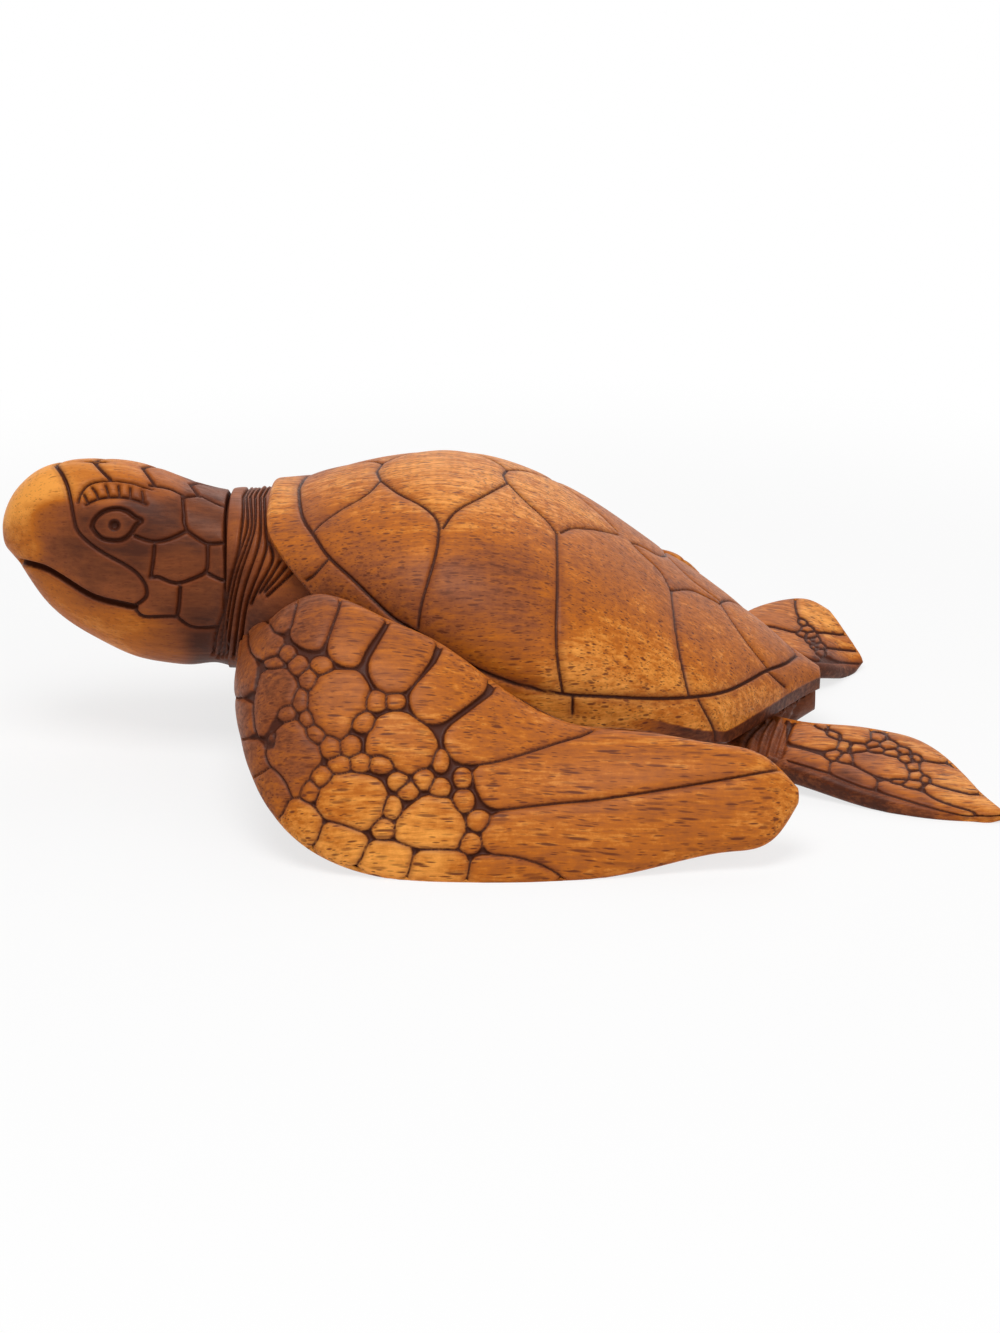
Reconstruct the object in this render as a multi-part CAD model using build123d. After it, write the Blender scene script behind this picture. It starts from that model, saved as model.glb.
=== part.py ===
from build123d import *
import math
import os

# Carved wooden sea turtle for a table or shelf, glued up from seven blocks on round dowels.
# The turtle swims along -X: the beak points to -X and the tail to +X. Its left side is -Y, and +Z is up.
# It stands on flats sanded under its four flippers, in the plane Z = 0. The pieces are worked out with
# X = 0 at the shell's front face, and all move together at the end, so that the origin is the middle of
# the footprint.

# Shell: an arched dome with an upright rim, sawn flat underneath along the glued seam
shell_length = 217.0
shell_half_width = 89.0
shell_height = 110.7
rim_thickness = 6.0
rim_undercut = 1.5  # how far the rim's upright side slants in towards the seam
seam_front_share = 0.7154  # of the shell's height
seam_front_height = seam_front_share * shell_height
seam_rear_height = 18.5
seam_level_length = 41.0  # the seam slopes down to here from the front, and is level behind it
collar_front_share = 0.84  # of the shell's height: the lower edge of the collar round the neck, in front
collar_length = 22.0  # behind the front face, where the collar's edge has come down to the seam

# Trunk: neck stump, chest, belly and tail in one block
neck_stump_length = 16.0
neck_half_width = 34.0
neck_bottom_height = 30.0
neck_top_share = 0.8853  # of the shell's height, so that the neck comes out just under the shell's brow
neck_top_height = neck_top_share * shell_height
chest_half_width = 43.0

# Head: skull and beak, from the glued face at the neck to the tip
head_length = 89.0
head_top_height = 111.5

# Front flippers, from the glued face at the shoulder
shoulder_half_width = 36.0
shoulder_lead = 9.0  # how far the root reaches ahead of the shell's front face
front_flipper_span = 122.0
front_flipper_sweep = 208.0
front_flipper_thickness = 28.0
right_tip_shortening = 22.0

# Rear flippers, from the glued face at the hip
hip_half_width = 26.0
hip_lead = 49.0  # how far the root starts ahead of the shell's rear end
rear_flipper_span = 76.0
rear_flipper_sweep = 110.0
rear_flipper_thickness = 13.0

# Grooves cut with a narrow gouge
groove_width = 2.2
shell_groove_depth = 1.4
flipper_groove_depth = 1.8
flipper_groove_lean = 20.0  # degrees: the grooves are cut from this far above the side

# Dowels and the room for glue
neck_dowel_radius = 5.0
seam_dowel_radius = 5.0
seam_dowel_length = 30.0
shoulder_dowel_radius = 4.0
shoulder_dowel_length = 36.0
hip_dowel_radius = 3.0
hip_dowel_length = 24.0
dowel_side_room = 0.1
dowel_end_room = 1.0
glue_line = 0.1
carving_gap = 0.5  # between a flipper and the shell's rim that it passes
overrun = 40.0  # how far a cutting block runs past what it cuts

# Shell sections: share of the length, share of the half width, share of the height at the crown
shell_shares = [
    (0.000, 0.472, 0.908),
    (0.055, 0.584, 0.914),
    (0.111, 0.674, 0.941),
    (0.207, 0.820, 0.980),
    (0.323, 0.944, 1.000),
    (0.461, 1.000, 0.936),
    (0.599, 0.978, 0.789),
    (0.714, 0.899, 0.626),
    (0.793, 0.809, 0.520),
    (0.830, 0.697, 0.472),
    (0.876, 0.517, 0.410),
    (0.922, 0.337, 0.345),
    (0.968, 0.157, 0.280),
    (1.000, 0.056, 0.238),
]

# Grooves of the shell seen from above, alike on both halves: shares of the length and the half width
shell_groove_shares = [
    ((0.054, 0.000), (0.057, 0.232), (0.088, 0.476), (0.156, 0.709), (0.250, 0.880)),
    ((0.740, 0.845), (0.811, 0.685), (0.861, 0.494), (0.895, 0.338), (0.935, 0.176), (0.960, 0.000)),
    ((0.187, 0.000), (0.202, 0.136), (0.236, 0.313), (0.280, 0.421), (0.308, 0.586), (0.308, 0.694), (0.274, 0.898)),
    ((0.202, 0.136), (0.181, 0.269), (0.085, 0.456)),
    ((0.308, 0.586), (0.335, 0.471), (0.428, 0.104), (0.403, 0.000)),
    ((0.428, 0.104), (0.459, 0.230), (0.518, 0.405), (0.518, 0.685), (0.512, 0.954)),
    ((0.518, 0.405), (0.580, 0.176), (0.620, 0.000)),
    ((0.620, 0.000), (0.709, 0.114), (0.725, 0.261), (0.725, 0.610), (0.747, 0.835)),
    ((0.725, 0.261), (0.759, 0.082), (0.818, 0.000)),
    ((0.818, 0.000), (0.852, 0.249), (0.895, 0.338)),
]

# The groove above the rim between its front and rear ends, seen from the side: share of the length, share
# of the shell's height above the seam
rim_groove_shares = (
    (0.235, 0.082), (0.295, 0.061), (0.376, 0.040), (0.461, 0.035), (0.518, 0.047), (0.595, 0.089),
    (0.682, 0.124), (0.750, 0.156),
)

# Belly sections: share of the shell's length, share of its half width, then where the middle and the
# bottom lie on the way from the table up to the seam
belly_shares = [
    (0.070, 0.540, 0.830, 0.350),
    (0.230, 0.720, 0.860, 0.310),
    (0.415, 0.820, 0.880, 0.280),
    (0.599, 0.770, 0.900, 0.240),
    (0.760, 0.560, 0.930, 0.200),
    (0.860, 0.400, 0.930, 0.190),
    (0.930, 0.270, 0.900, 0.210),
    (0.955, 0.160, 0.830, 0.300),
    (0.992, 0.056, 0.800, 0.500),
]

# Head sections: share of the length, share of the neck's half width, then the shares of the head's top
# height at which the jaw's underside and the skull's top lie
head_shares = [
    (0.067, 0.912, 0.278, 0.892),
    (0.157, 0.882, 0.269, 0.915),
    (0.270, 0.882, 0.274, 0.951),
    (0.416, 0.838, 0.296, 0.987),
    (0.562, 0.765, 0.350, 1.000),
    (0.697, 0.647, 0.413, 0.996),
    (0.809, 0.529, 0.493, 0.973),
    (0.899, 0.412, 0.601, 0.924),
    (0.955, 0.294, 0.664, 0.870),
    (0.989, 0.147, 0.700, 0.807),
]
beak_tip_share = 0.753

# Front flipper ribs: where the leading and the trailing edge lie, as shares of the sweep, the span and
# the seam's front height, then the rib's share of the thickness
front_rib_shares = [
    ((0.000, 0.000, 0.505), (0.188, 0.000, 0.758), 1.00),
    ((0.005, 0.197, 0.480), (0.188, 0.148, 0.770), 0.93),
    ((0.019, 0.426, 0.455), (0.159, 0.279, 0.972), 0.71),
    ((0.043, 0.705, 0.328), (0.216, 0.385, 1.010), 0.54),
    ((0.106, 0.869, 0.164), (0.279, 0.434, 0.953), 0.46),
    ((0.216, 0.959, 0.036), (0.361, 0.484, 0.878), 0.43),
    ((0.370, 1.000, -0.010), (0.457, 0.541, 0.720), 0.39),
    ((0.548, 1.000, -0.010), (0.591, 0.607, 0.543), 0.36),
    ((0.716, 0.959, 0.025), (0.736, 0.656, 0.518), 0.32),
    ((0.870, 0.910, 0.088), (0.861, 0.689, 0.480), 0.29),
    ((0.963, 0.855, 0.152), (0.957, 0.722, 0.400), 0.23),
    ((0.994, 0.793, 0.245), (0.994, 0.762, 0.312), 0.13),
]
shortening_start_share = 0.476  # of the sweep: the right flipper is drawn in behind this

# Grooves of a front flipper as seen when they are cut, with the right side as the mirror image of the left.
# The places are shares of the sweep: back from the root's front corner, and up from the table's edge line.
# Those between the scales along the upper edge, from the shoulder out:
upper_edge_groove_shares = [
    ((0.120, 0.240), (0.098, 0.155)),
    ((0.188, 0.230), (0.156, 0.138)),
    ((0.269, 0.190), (0.224, 0.106)),
    ((0.356, 0.134), (0.312, 0.063)),
    ((0.452, 0.070), (0.375, 0.010)),
]
# Those that part the upper and lower rows and the finger from the pebbled middle
long_groove_shares = [
    ((0.063, 0.168), (0.154, 0.139), (0.224, 0.106), (0.250, 0.067), (0.317, 0.063), (0.375, 0.010), (0.380, -0.038),
     (0.433, -0.058), (0.462, -0.135), (0.418, -0.207)),
    ((0.063, -0.067), (0.111, -0.120), (0.173, -0.154), (0.245, -0.187), (0.322, -0.202), (0.418, -0.207),
     (0.529, -0.221), (0.582, -0.245)),
    ((0.433, -0.058), (0.560, -0.028), (0.630, 0.000)),
    ((0.462, -0.135), (0.577, -0.125), (0.683, -0.115), (0.822, -0.091), (0.971, -0.077)),
]
# Those between the scales along the lower edge
lower_edge_groove_shares = [
    ((0.111, -0.120), (0.091, -0.170)),
    ((0.173, -0.154), (0.154, -0.220)),
    ((0.245, -0.187), (0.226, -0.245)),
    ((0.322, -0.202), (0.312, -0.262)),
    ((0.418, -0.207), (0.411, -0.275)),
]
# Round the big scales in the middle: a place as before, then the half length and the half height
round_scale_shares = [
    (0.082, 0.062, 0.040, 0.060),
    (0.197, 0.048, 0.055, 0.058),
    (0.115, -0.048, 0.048, 0.064),
    (0.308, -0.019, 0.060, 0.052),
    (0.221, -0.118, 0.060, 0.048),
    (0.361, -0.157, 0.060, 0.042),
]

# Rear flipper ribs, in the same order as the front ones, with heights as shares of the seam's rear height
rear_left_rib_shares = [
    ((0.000, 0.000, 0.486), (0.273, 0.000, 0.600), 1.00),
    ((0.073, 0.210, 0.480), (0.345, 0.080, 0.640), 1.00),
    ((0.200, 0.487, 0.440), (0.418, 0.158, 0.720), 0.98),
    ((0.327, 0.632, 0.380), (0.473, 0.171, 0.740), 0.95),
    ((0.482, 0.763, 0.220), (0.555, 0.158, 0.700), 0.90),
    ((0.655, 0.895, 0.120), (0.664, 0.158, 0.600), 0.82),
    ((0.800, 0.961, 0.090), (0.773, 0.211, 0.480), 0.70),
    ((0.900, 0.987, 0.080), (0.873, 0.447, 0.330), 0.55),
    ((0.955, 1.000, 0.090), (0.936, 0.737, 0.220), 0.42),
    ((0.997, 0.992, 0.130), (0.990, 0.930, 0.150), 0.25),
]
rear_right_rib_shares = [
    ((0.000, 0.000, 0.540), (0.273, 0.000, 0.560), 1.00),
    ((0.055, 0.210, 0.620), (0.327, 0.080, 0.540), 1.00),
    ((0.136, 0.553, 0.820), (0.418, 0.210, 0.486), 0.95),
    ((0.218, 0.789, 1.030), (0.509, 0.316, 0.360), 0.85),
    ((0.318, 0.947, 1.080), (0.564, 0.408, 0.200), 0.78),
    ((0.406, 1.040, 1.080), (0.600, 0.487, 0.070), 0.70),
    ((0.500, 1.060, 1.030), (0.645, 0.579, 0.030), 0.50),
    ((0.560, 1.020, 0.900), (0.677, 0.650, 0.160), 0.28),
]

# How far a flipper's seat in the trunk runs on past its root, as shares of the flipper's thickness
seat_front_share = 0.08
seat_back_share = 0.70

# Dowel places
neck_dowel_height_shares = {"lower": 0.32, "upper": 0.73}  # on the way up the neck's glued face
neck_dowel_reach_share = 0.85  # of the neck stump's length
seam_dowel_length_shares = {"front": 0.20, "middle": 0.40, "rear": 0.60}  # of the shell's length
shoulder_dowel_rib_shares = (0.28, 0.72)  # along the root rib
hip_dowel_rib_shares = (0.36, 0.72)

# Roundness of the sections: 2 is an oval, more is squarer
body_roundness = 2.6
head_roundness = 2.3
front_flipper_roundness = 2.6
rear_flipper_roundness = 3.2
front_flipper_camber_share = 0.07  # of each rib's length from edge to edge
rear_flipper_camber_share = 0.0
quarter_steps = 4
half_turn = 180


def seam_height(x):
    """Height of the glued seam above the table, at x behind the shell's front face."""
    slope_length = shell_length - seam_level_length
    drop = (seam_front_height - seam_rear_height) * x / slope_length
    return max(seam_front_height - drop, seam_rear_height)


def ring(middle, across, up, half_across, half_up, roundness, camber=0.0):
    """A face bounded by four quarters of a rounded oval, bent by the camber towards up."""

    def point(angle):
        a = math.copysign(abs(math.cos(angle)) ** (2 / roundness), math.cos(angle))
        b = math.copysign(abs(math.sin(angle)) ** (2 / roundness), math.sin(angle))
        return middle + across * (a * half_across) + up * (b * half_up + camber * (1 - a * a))

    quarter = math.pi / 2
    directions = [up, across * -1, up * -1, across]
    even_steps = [float(step) for step in range(quarter_steps + 1)]
    edges = []
    for i, start_direction in enumerate(directions):
        points = [point(quarter * (i + step / quarter_steps)) for step in range(quarter_steps)]
        points.append(point(quarter * (i + 1) if i < 3 else 0))
        end_direction = directions[(i + 1) % len(directions)]
        tangents = [start_direction, end_direction]
        edges.append(Edge.make_spline(points, tangents=tangents, parameters=even_steps))
    return Face(Wire(edges))


def upright_ring(x, half_width, bottom, top, roundness):
    """A face across the body at x, between two heights."""
    middle = Vector(x, 0, (bottom + top) / 2)
    half_height = (top - bottom) / 2
    return ring(middle, Vector(0, 1, 0), Vector(0, 0, 1), half_width, half_height, roundness)


def under_shell(room):
    """A block that fills the space under and ahead of the shell, up to room from it."""
    slope_length = shell_length - seam_level_length
    far_ahead = -neck_stump_length - overrun
    far_behind = shell_length + overrun
    outline = Polyline(
        (far_ahead, -overrun),
        (far_ahead, shell_height + overrun),
        (-room, shell_height + overrun),
        (-room, collar_front_share * shell_height - room),
        (collar_length, seam_height(collar_length) - room),
        (slope_length, seam_rear_height - room),
        (far_behind, seam_rear_height - room),
        (far_behind, -overrun),
        close=True,
    )
    return extrude(Plane.XZ * make_face(outline), shell_half_width + overrun, both=True)


def shell_section(x, half_width, crown):
    """One section of the dome: an elliptic arch on two undercut rims that run past the seam."""
    edge = seam_height(x) + rim_thickness
    foot = -2 * rim_thickness
    foot_half_width = half_width - 2 * rim_undercut
    plane = Plane(origin=(x, 0, edge), x_dir=(0, 1, 0), z_dir=(1, 0, 0))
    arch = EllipticalCenterArc((0, 0), half_width, crown - edge, arc_size=half_turn)
    walls = Polyline((-half_width, 0), (-foot_half_width, foot), (foot_half_width, foot), (half_width, 0))
    return plane * make_face([*arch.edges(), *walls.edges()])


def dome(side_room, top_room):
    """The shell before it is sawn, larger at the sides and on top by these rooms, or smaller."""
    return loft([
        shell_section(along * shell_length, across * shell_half_width + side_room, up * shell_height + top_room)
        for along, across, up in shell_shares
    ])


def shell_block(room=0.0):
    """The domed shell sawn along the seam, or the space that it takes with room round it."""
    return dome(room, 0) - under_shell(room)


def groove_strips(lines):
    """Flat strips as wide as a groove along the lines."""
    return Sketch() + [trace(Polyline(*line), groove_width) for line in lines]


def shell_grooves():
    """What the gouge takes out of the shell along its lines, down to a smaller dome inside it."""
    from_above = [
        [(along * shell_length, half * across * shell_half_width) for along, across in line]
        for line in shell_groove_shares
        for half in (-1, 1)
    ]
    from_the_side = []
    for along, up in rim_groove_shares:
        x = along * shell_length
        from_the_side.append((x, seam_height(x) + up * shell_height))
    depth = shell_half_width + overrun
    core = dome(-shell_groove_depth, -shell_groove_depth)
    upright = extrude(groove_strips(from_above), shell_height + overrun)
    level = extrude(Plane.XZ * groove_strips([from_the_side]), depth, both=True)
    return [upright - core, level - core]


def dowel(middle, direction, radius, length):
    """A round dowel centred on its glue joint, with the hole that it goes in."""
    plane = Plane(origin=middle, z_dir=direction)
    pin = plane * Cylinder(radius, length)
    hole = plane * Cylinder(radius + dowel_side_room, length + 2 * dowel_end_room)
    return pin, hole


def neck_dowels():
    """Two dowels along X through the glued face of the neck."""
    neck_height = neck_top_height - neck_bottom_height
    length = 2 * neck_dowel_reach_share * neck_stump_length
    return {
        f"neck_dowel_{name}": dowel(
            (-neck_stump_length, 0, neck_bottom_height + share * neck_height), (1, 0, 0),
            neck_dowel_radius, length,
        )
        for name, share in neck_dowel_height_shares.items()
    }


def seam_dowels():
    """Three dowels square to the sloping seam between shell and trunk."""
    slope_length = shell_length - seam_level_length
    square = (seam_front_height - seam_rear_height, 0, slope_length)
    return {
        f"seam_dowel_{name}": dowel(
            (share * shell_length, 0, seam_height(share * shell_length)), square,
            seam_dowel_radius, seam_dowel_length,
        )
        for name, share in seam_dowel_length_shares.items()
    }


def edge_point(shares, root_x, root_y, sweep, span, rise, side, shortening):
    """A place on a flipper's edge; shortening draws in what lies behind its start."""
    along, out, up = shares
    drawn_in = shortening * max(along - shortening_start_share, 0) / (1 - shortening_start_share)
    return Vector(root_x + along * sweep - drawn_in, side * (root_y + out * span), up * rise)


def front_edge_point(shares, side):
    """A place on a front flipper's edge; side is -1 on the left and 1 on the right."""
    shortening = right_tip_shortening if side > 0 else 0
    return edge_point(
        shares, -shoulder_lead, shoulder_half_width, front_flipper_sweep, front_flipper_span,
        seam_front_height, side, shortening,
    )


def rear_edge_point(shares, side):
    """A place on a rear flipper's edge; side is -1 on the left and 1 on the right."""
    return edge_point(
        shares, shell_length - hip_lead, hip_half_width, rear_flipper_sweep, rear_flipper_span,
        seam_rear_height, side, 0,
    )


def flipper_blank(rib_shares, place, side, thickness, camber_share, roundness):
    """A flipper lofted from the flat root at the body through its ribs to the last one, at the tip."""
    leading = [place(rib[0], side) for rib in rib_shares]
    trailing = [place(rib[1], side) for rib in rib_shares]
    middles = [(front + back) / 2 for front, back in zip(leading, trailing)]
    outwards = Vector(0, side, 0)
    rings = []
    for i, (front, back, rib) in enumerate(zip(leading, trailing, rib_shares)):
        along = (middles[min(i + 1, len(middles) - 1)] - middles[i - 1]).normalized() if i else outwards
        across = (back - front).normalized()
        up = across.cross(along).normalized() * side
        chord = (back - front).length
        half_thickness = rib[2] * thickness / 2
        camber = camber_share * chord if i else 0
        rings.append(ring(middles[i], across, up, chord / 2, half_thickness, roundness, camber))
    return loft(rings)


def flipper_grooves(blank, side):
    """What the gouge takes out of a front flipper: slabs that lean, down to the same form set deeper."""
    lean = math.radians(flipper_groove_lean)
    outwards = Vector(0, side * math.cos(lean), math.sin(lean))
    plane = Plane(origin=(0, 0, 0), x_dir=(1, 0, 0), z_dir=outwards)
    shortening = right_tip_shortening if side > 0 else 0

    def drawn(along, up):
        drawn_in = shortening * max(along - shortening_start_share, 0) / (1 - shortening_start_share)
        return (-shoulder_lead + along * front_flipper_sweep - drawn_in, -side * up * front_flipper_sweep)

    lines = [*upper_edge_groove_shares, *long_groove_shares, *lower_edge_groove_shares]
    strips = groove_strips([[drawn(*place) for place in line] for line in lines])
    half_groove = groove_width / 2
    for along, up, half_length, half_height in round_scale_shares:
        a = half_length * front_flipper_sweep
        b = half_height * front_flipper_sweep
        ring_strip = Ellipse(a + half_groove, b + half_groove) - Ellipse(a - half_groove, b - half_groove)
        strips += Pos(*drawn(along, up)) * ring_strip
    reach = shoulder_half_width + front_flipper_span + overrun
    deeper = outwards * -flipper_groove_depth
    return extrude(plane * strips, reach) - Pos(*deeper) * blank


def carve_flipper(blank, dowels, grooves):
    """The flipper without what the shell needs, drilled, grooved, and sanded flat where it stands."""
    reach = shell_length + front_flipper_sweep + overrun
    floor = Pos(0, 0, -reach / 2) * Box(reach * 2, reach * 2, reach)
    return blank - [shell_block(carving_gap), floor, *holes(dowels), *grooves]


def root_dowels(name, rib, place, side, rib_dowel_shares, radius, length):
    """Dowels along Y through a flipper's flat root, spread along its root rib."""
    front = place(rib[0], side)
    back = place(rib[1], side)
    return {
        f"{name}_dowel_{number}": dowel(front + (back - front) * share, (0, 1, 0), radius, length)
        for number, share in enumerate(rib_dowel_shares, start=1)
    }


def seat_cut(rib_shares, place, side, half_width, top, thickness):
    """The block sawn out of the trunk's side for a flipper's root, under the height top."""
    front = place(rib_shares[0][0], side).X - seat_front_share * thickness
    back = place(rib_shares[0][1], side).X + seat_back_share * thickness
    depth = shell_half_width + overrun
    middle_y = side * (half_width - glue_line + depth / 2)
    height = top + overrun
    middle = ((front + back) / 2, middle_y, top - height / 2)
    return Pos(*middle) * Box(back - front, depth, height)


def trunk_block(cuts):
    """Neck stump, chest, belly and tail, sawn to the seam and cut for flippers and dowels."""
    neck = [
        upright_ring(-neck_stump_length, neck_half_width, neck_bottom_height, neck_top_height, body_roundness),
        upright_ring(0, chest_half_width, neck_bottom_height, neck_top_height, body_roundness),
    ]
    belly = []
    for along, across, middle_share, bottom_share in belly_shares:
        x = along * shell_length
        middle = middle_share * seam_height(x)
        bottom = bottom_share * seam_height(x)
        belly.append(upright_ring(x, across * shell_half_width, bottom, 2 * middle - bottom, body_roundness))
    return loft([*neck, *belly]) & (under_shell(glue_line) - cuts)


def head_block():
    """Skull and beak, from the glued face to the tip."""
    face_x = -neck_stump_length - glue_line
    tip_x = -neck_stump_length - head_length
    rings = [upright_ring(face_x, neck_half_width, neck_bottom_height, neck_top_height, head_roundness)]
    for along, across, bottom, top in head_shares:
        x = -neck_stump_length - along * head_length
        rings.append(upright_ring(
            x, across * neck_half_width, bottom * head_top_height, top * head_top_height, head_roundness,
        ))
    return loft([*rings, Vertex(tip_x, 0, beak_tip_share * head_top_height)])


def holes(dowels):
    """The holes of these dowels."""
    return [hole for _, hole in dowels.values()]


def make_turtle():
    """Every piece by its name, with X = 0 at the shell's front face."""
    neck = neck_dowels()
    seam = seam_dowels()
    dowels = {**neck, **seam}
    seats = []
    pieces = {}
    for name, side in (("left", -1), ("right", 1)):
        rear_rib_shares = rear_left_rib_shares if side < 0 else rear_right_rib_shares
        shoulder = root_dowels(
            f"front_{name}", front_rib_shares[0], front_edge_point, side,
            shoulder_dowel_rib_shares, shoulder_dowel_radius, shoulder_dowel_length,
        )
        hip = root_dowels(
            f"rear_{name}", rear_rib_shares[0], rear_edge_point, side,
            hip_dowel_rib_shares, hip_dowel_radius, hip_dowel_length,
        )
        front = flipper_blank(
            front_rib_shares, front_edge_point, side,
            front_flipper_thickness, front_flipper_camber_share, front_flipper_roundness,
        )
        rear = flipper_blank(
            rear_rib_shares, rear_edge_point, side,
            rear_flipper_thickness, rear_flipper_camber_share, rear_flipper_roundness,
        )
        pieces[f"flipper_front_{name}"] = carve_flipper(front, shoulder, [flipper_grooves(front, side)])
        pieces[f"flipper_rear_{name}"] = carve_flipper(rear, hip, [])
        seats += [
            seat_cut(
                front_rib_shares, front_edge_point, side, shoulder_half_width, seam_front_height,
                front_flipper_thickness,
            ),
            seat_cut(
                rear_rib_shares, rear_edge_point, side, hip_half_width, seam_rear_height,
                rear_flipper_thickness,
            ),
        ]
        dowels.update({**shoulder, **hip})
    pieces["carapace"] = shell_block() - [*shell_grooves(), *holes(seam)]
    pieces["trunk"] = trunk_block([*seats, *holes(dowels)])
    pieces["head"] = head_block() - holes(neck)
    pieces.update({name: pin for name, (pin, _) in dowels.items()})
    return pieces


def main():
    """Write each piece with the origin at the middle of the footprint, from the beak to the rear tip."""
    os.makedirs("parts", exist_ok=True)
    beak_x = -neck_stump_length - head_length
    rear_x = shell_length - hip_lead + rear_flipper_sweep
    to_middle = Pos(-(beak_x + rear_x) / 2, 0, 0)
    for name, piece in make_turtle().items():
        export_step(to_middle * piece, f"parts/{name}.step")


main()
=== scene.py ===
"""The looks of a carved and varnished wooden sea turtle, built over the frame of its CAD model.

Lengths are in metres unless a name says otherwise. The turtle swims along -X, and its left side, at -Y,
faces the camera. The carving was drawn on the photograph, so its lines are pixel places in the
1000 x 1333 picture. PhotoView carries them back onto the pieces, and the right side mirrors the left.
"""

import logging
import math
from dataclasses import dataclass
from enum import Enum
from typing import Sequence

import bpy
import numpy as np
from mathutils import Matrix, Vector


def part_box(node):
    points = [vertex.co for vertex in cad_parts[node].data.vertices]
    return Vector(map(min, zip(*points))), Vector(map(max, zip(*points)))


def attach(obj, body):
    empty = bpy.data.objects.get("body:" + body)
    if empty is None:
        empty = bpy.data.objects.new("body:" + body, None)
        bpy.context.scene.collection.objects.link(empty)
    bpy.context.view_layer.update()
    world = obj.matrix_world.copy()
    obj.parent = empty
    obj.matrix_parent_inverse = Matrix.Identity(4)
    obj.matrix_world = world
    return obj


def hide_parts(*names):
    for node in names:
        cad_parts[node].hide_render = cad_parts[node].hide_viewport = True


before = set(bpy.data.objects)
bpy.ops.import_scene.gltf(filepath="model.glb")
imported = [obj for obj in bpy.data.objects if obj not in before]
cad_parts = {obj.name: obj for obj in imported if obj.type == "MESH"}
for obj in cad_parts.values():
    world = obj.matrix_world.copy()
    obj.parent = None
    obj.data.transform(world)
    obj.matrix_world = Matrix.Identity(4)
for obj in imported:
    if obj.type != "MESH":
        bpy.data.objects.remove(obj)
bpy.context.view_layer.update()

Array = np.ndarray
Places = Sequence[tuple[float, float]]
Spots = Sequence[tuple[float, float, float, float]]
Pebbles = Sequence[tuple[float, float, float, float]]
Colour = tuple[float, float, float, float]
Value = float | bpy.types.NodeSocket
Paint = Colour | bpy.types.NodeSocket
log = logging.getLogger("turtle")

MM = 0.001
TINY = 1e-9
NO_LINE_NEAR = 99.0  # millimetres
NO_GROOVE_NEAR = 9.0  # millimetres
PEBBLE_GROWTH = 1.15
FLOOR_STAIN_AND_SHADE = 0.25  # millimetres outside a scale where the floor's stain and painted shade begin

front_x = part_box("carapace")[0].x
tail_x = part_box("carapace")[1].x


class Side(Enum):
    """Which side of the turtle a flipper is on, as the sign of its Y."""

    LEFT = -1
    RIGHT = 1


def unit(vectors: Array) -> Array:
    """Each vector divided by its length."""
    return vectors / np.maximum(np.linalg.norm(vectors, axis=-1, keepdims=True), TINY)


def smoothstep(low: float, high: float, values: Array) -> Array:
    """A smooth step: 0 below low, 1 above high, and 3t^2 - 2t^3 in between."""
    t = np.clip((values - low) / (high - low), 0, 1)
    return t * t * (3 - 2 * t)


def smooth_through(stations: Array, values: Array, wanted: Array) -> Array:
    """A natural cubic spline through values at the stations, read at the wanted stations.

    Between two stations the curve is a cubic whose second derivative runs straight from M[i] to M[i+1],
    and the M are such that the slope has no jump at a station.

    Args:
        stations: rising parameters, one per value.
        values: the values, with one row per station.
        wanted: where to read the curve.

    Returns:
        One row per wanted parameter.
    """
    count = len(stations)
    gap = np.diff(stations)
    matrix = np.eye(count)
    right = np.zeros_like(values, dtype=float)
    inner = np.arange(1, count - 1)
    matrix[inner, inner - 1] = gap[:-1]
    matrix[inner, inner] = 2 * (gap[:-1] + gap[1:])
    matrix[inner, inner + 1] = gap[1:]
    column = gap.reshape((-1,) + (1,) * (values.ndim - 1))
    slope = np.diff(values, axis=0) / column
    right[1:-1] = 6 * np.diff(slope, axis=0)
    bend = np.linalg.solve(matrix, right.reshape(count, -1)).reshape(right.shape)
    i = np.clip(np.searchsorted(stations, wanted) - 1, 0, count - 2)
    shape = (-1,) + (1,) * (values.ndim - 1)
    h = gap[i].reshape(shape)
    after = (wanted - stations[i]).reshape(shape)
    before = h - after
    return (
        (bend[i] * before**3 + bend[i + 1] * after**3) / (6 * h)
        + (values[i] / h - bend[i] * h / 6) * before
        + (values[i + 1] / h - bend[i + 1] * h / 6) * after
    )


def soften(places: Places, closed: bool, rounds: int = 2) -> Array:
    """Corners cut off by Chaikin's rule: each run is replaced by its quarter and three-quarter points.

    Args:
        places: the line's corners.
        closed: whether its end joins its start.
        rounds: how often the corners are cut.

    Returns:
        The softened line.
    """
    line = np.array(places, float)
    for _ in range(rounds):
        ahead = np.roll(line, -1, axis=0) if closed else line[1:]
        start = line if closed else line[:-1]
        cut = np.stack([0.75 * start + 0.25 * ahead, 0.25 * start + 0.75 * ahead], axis=1).reshape(-1, 2)
        line = cut if closed else np.vstack([line[:1], cut[1:-1], line[-1:]])
    return line


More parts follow.
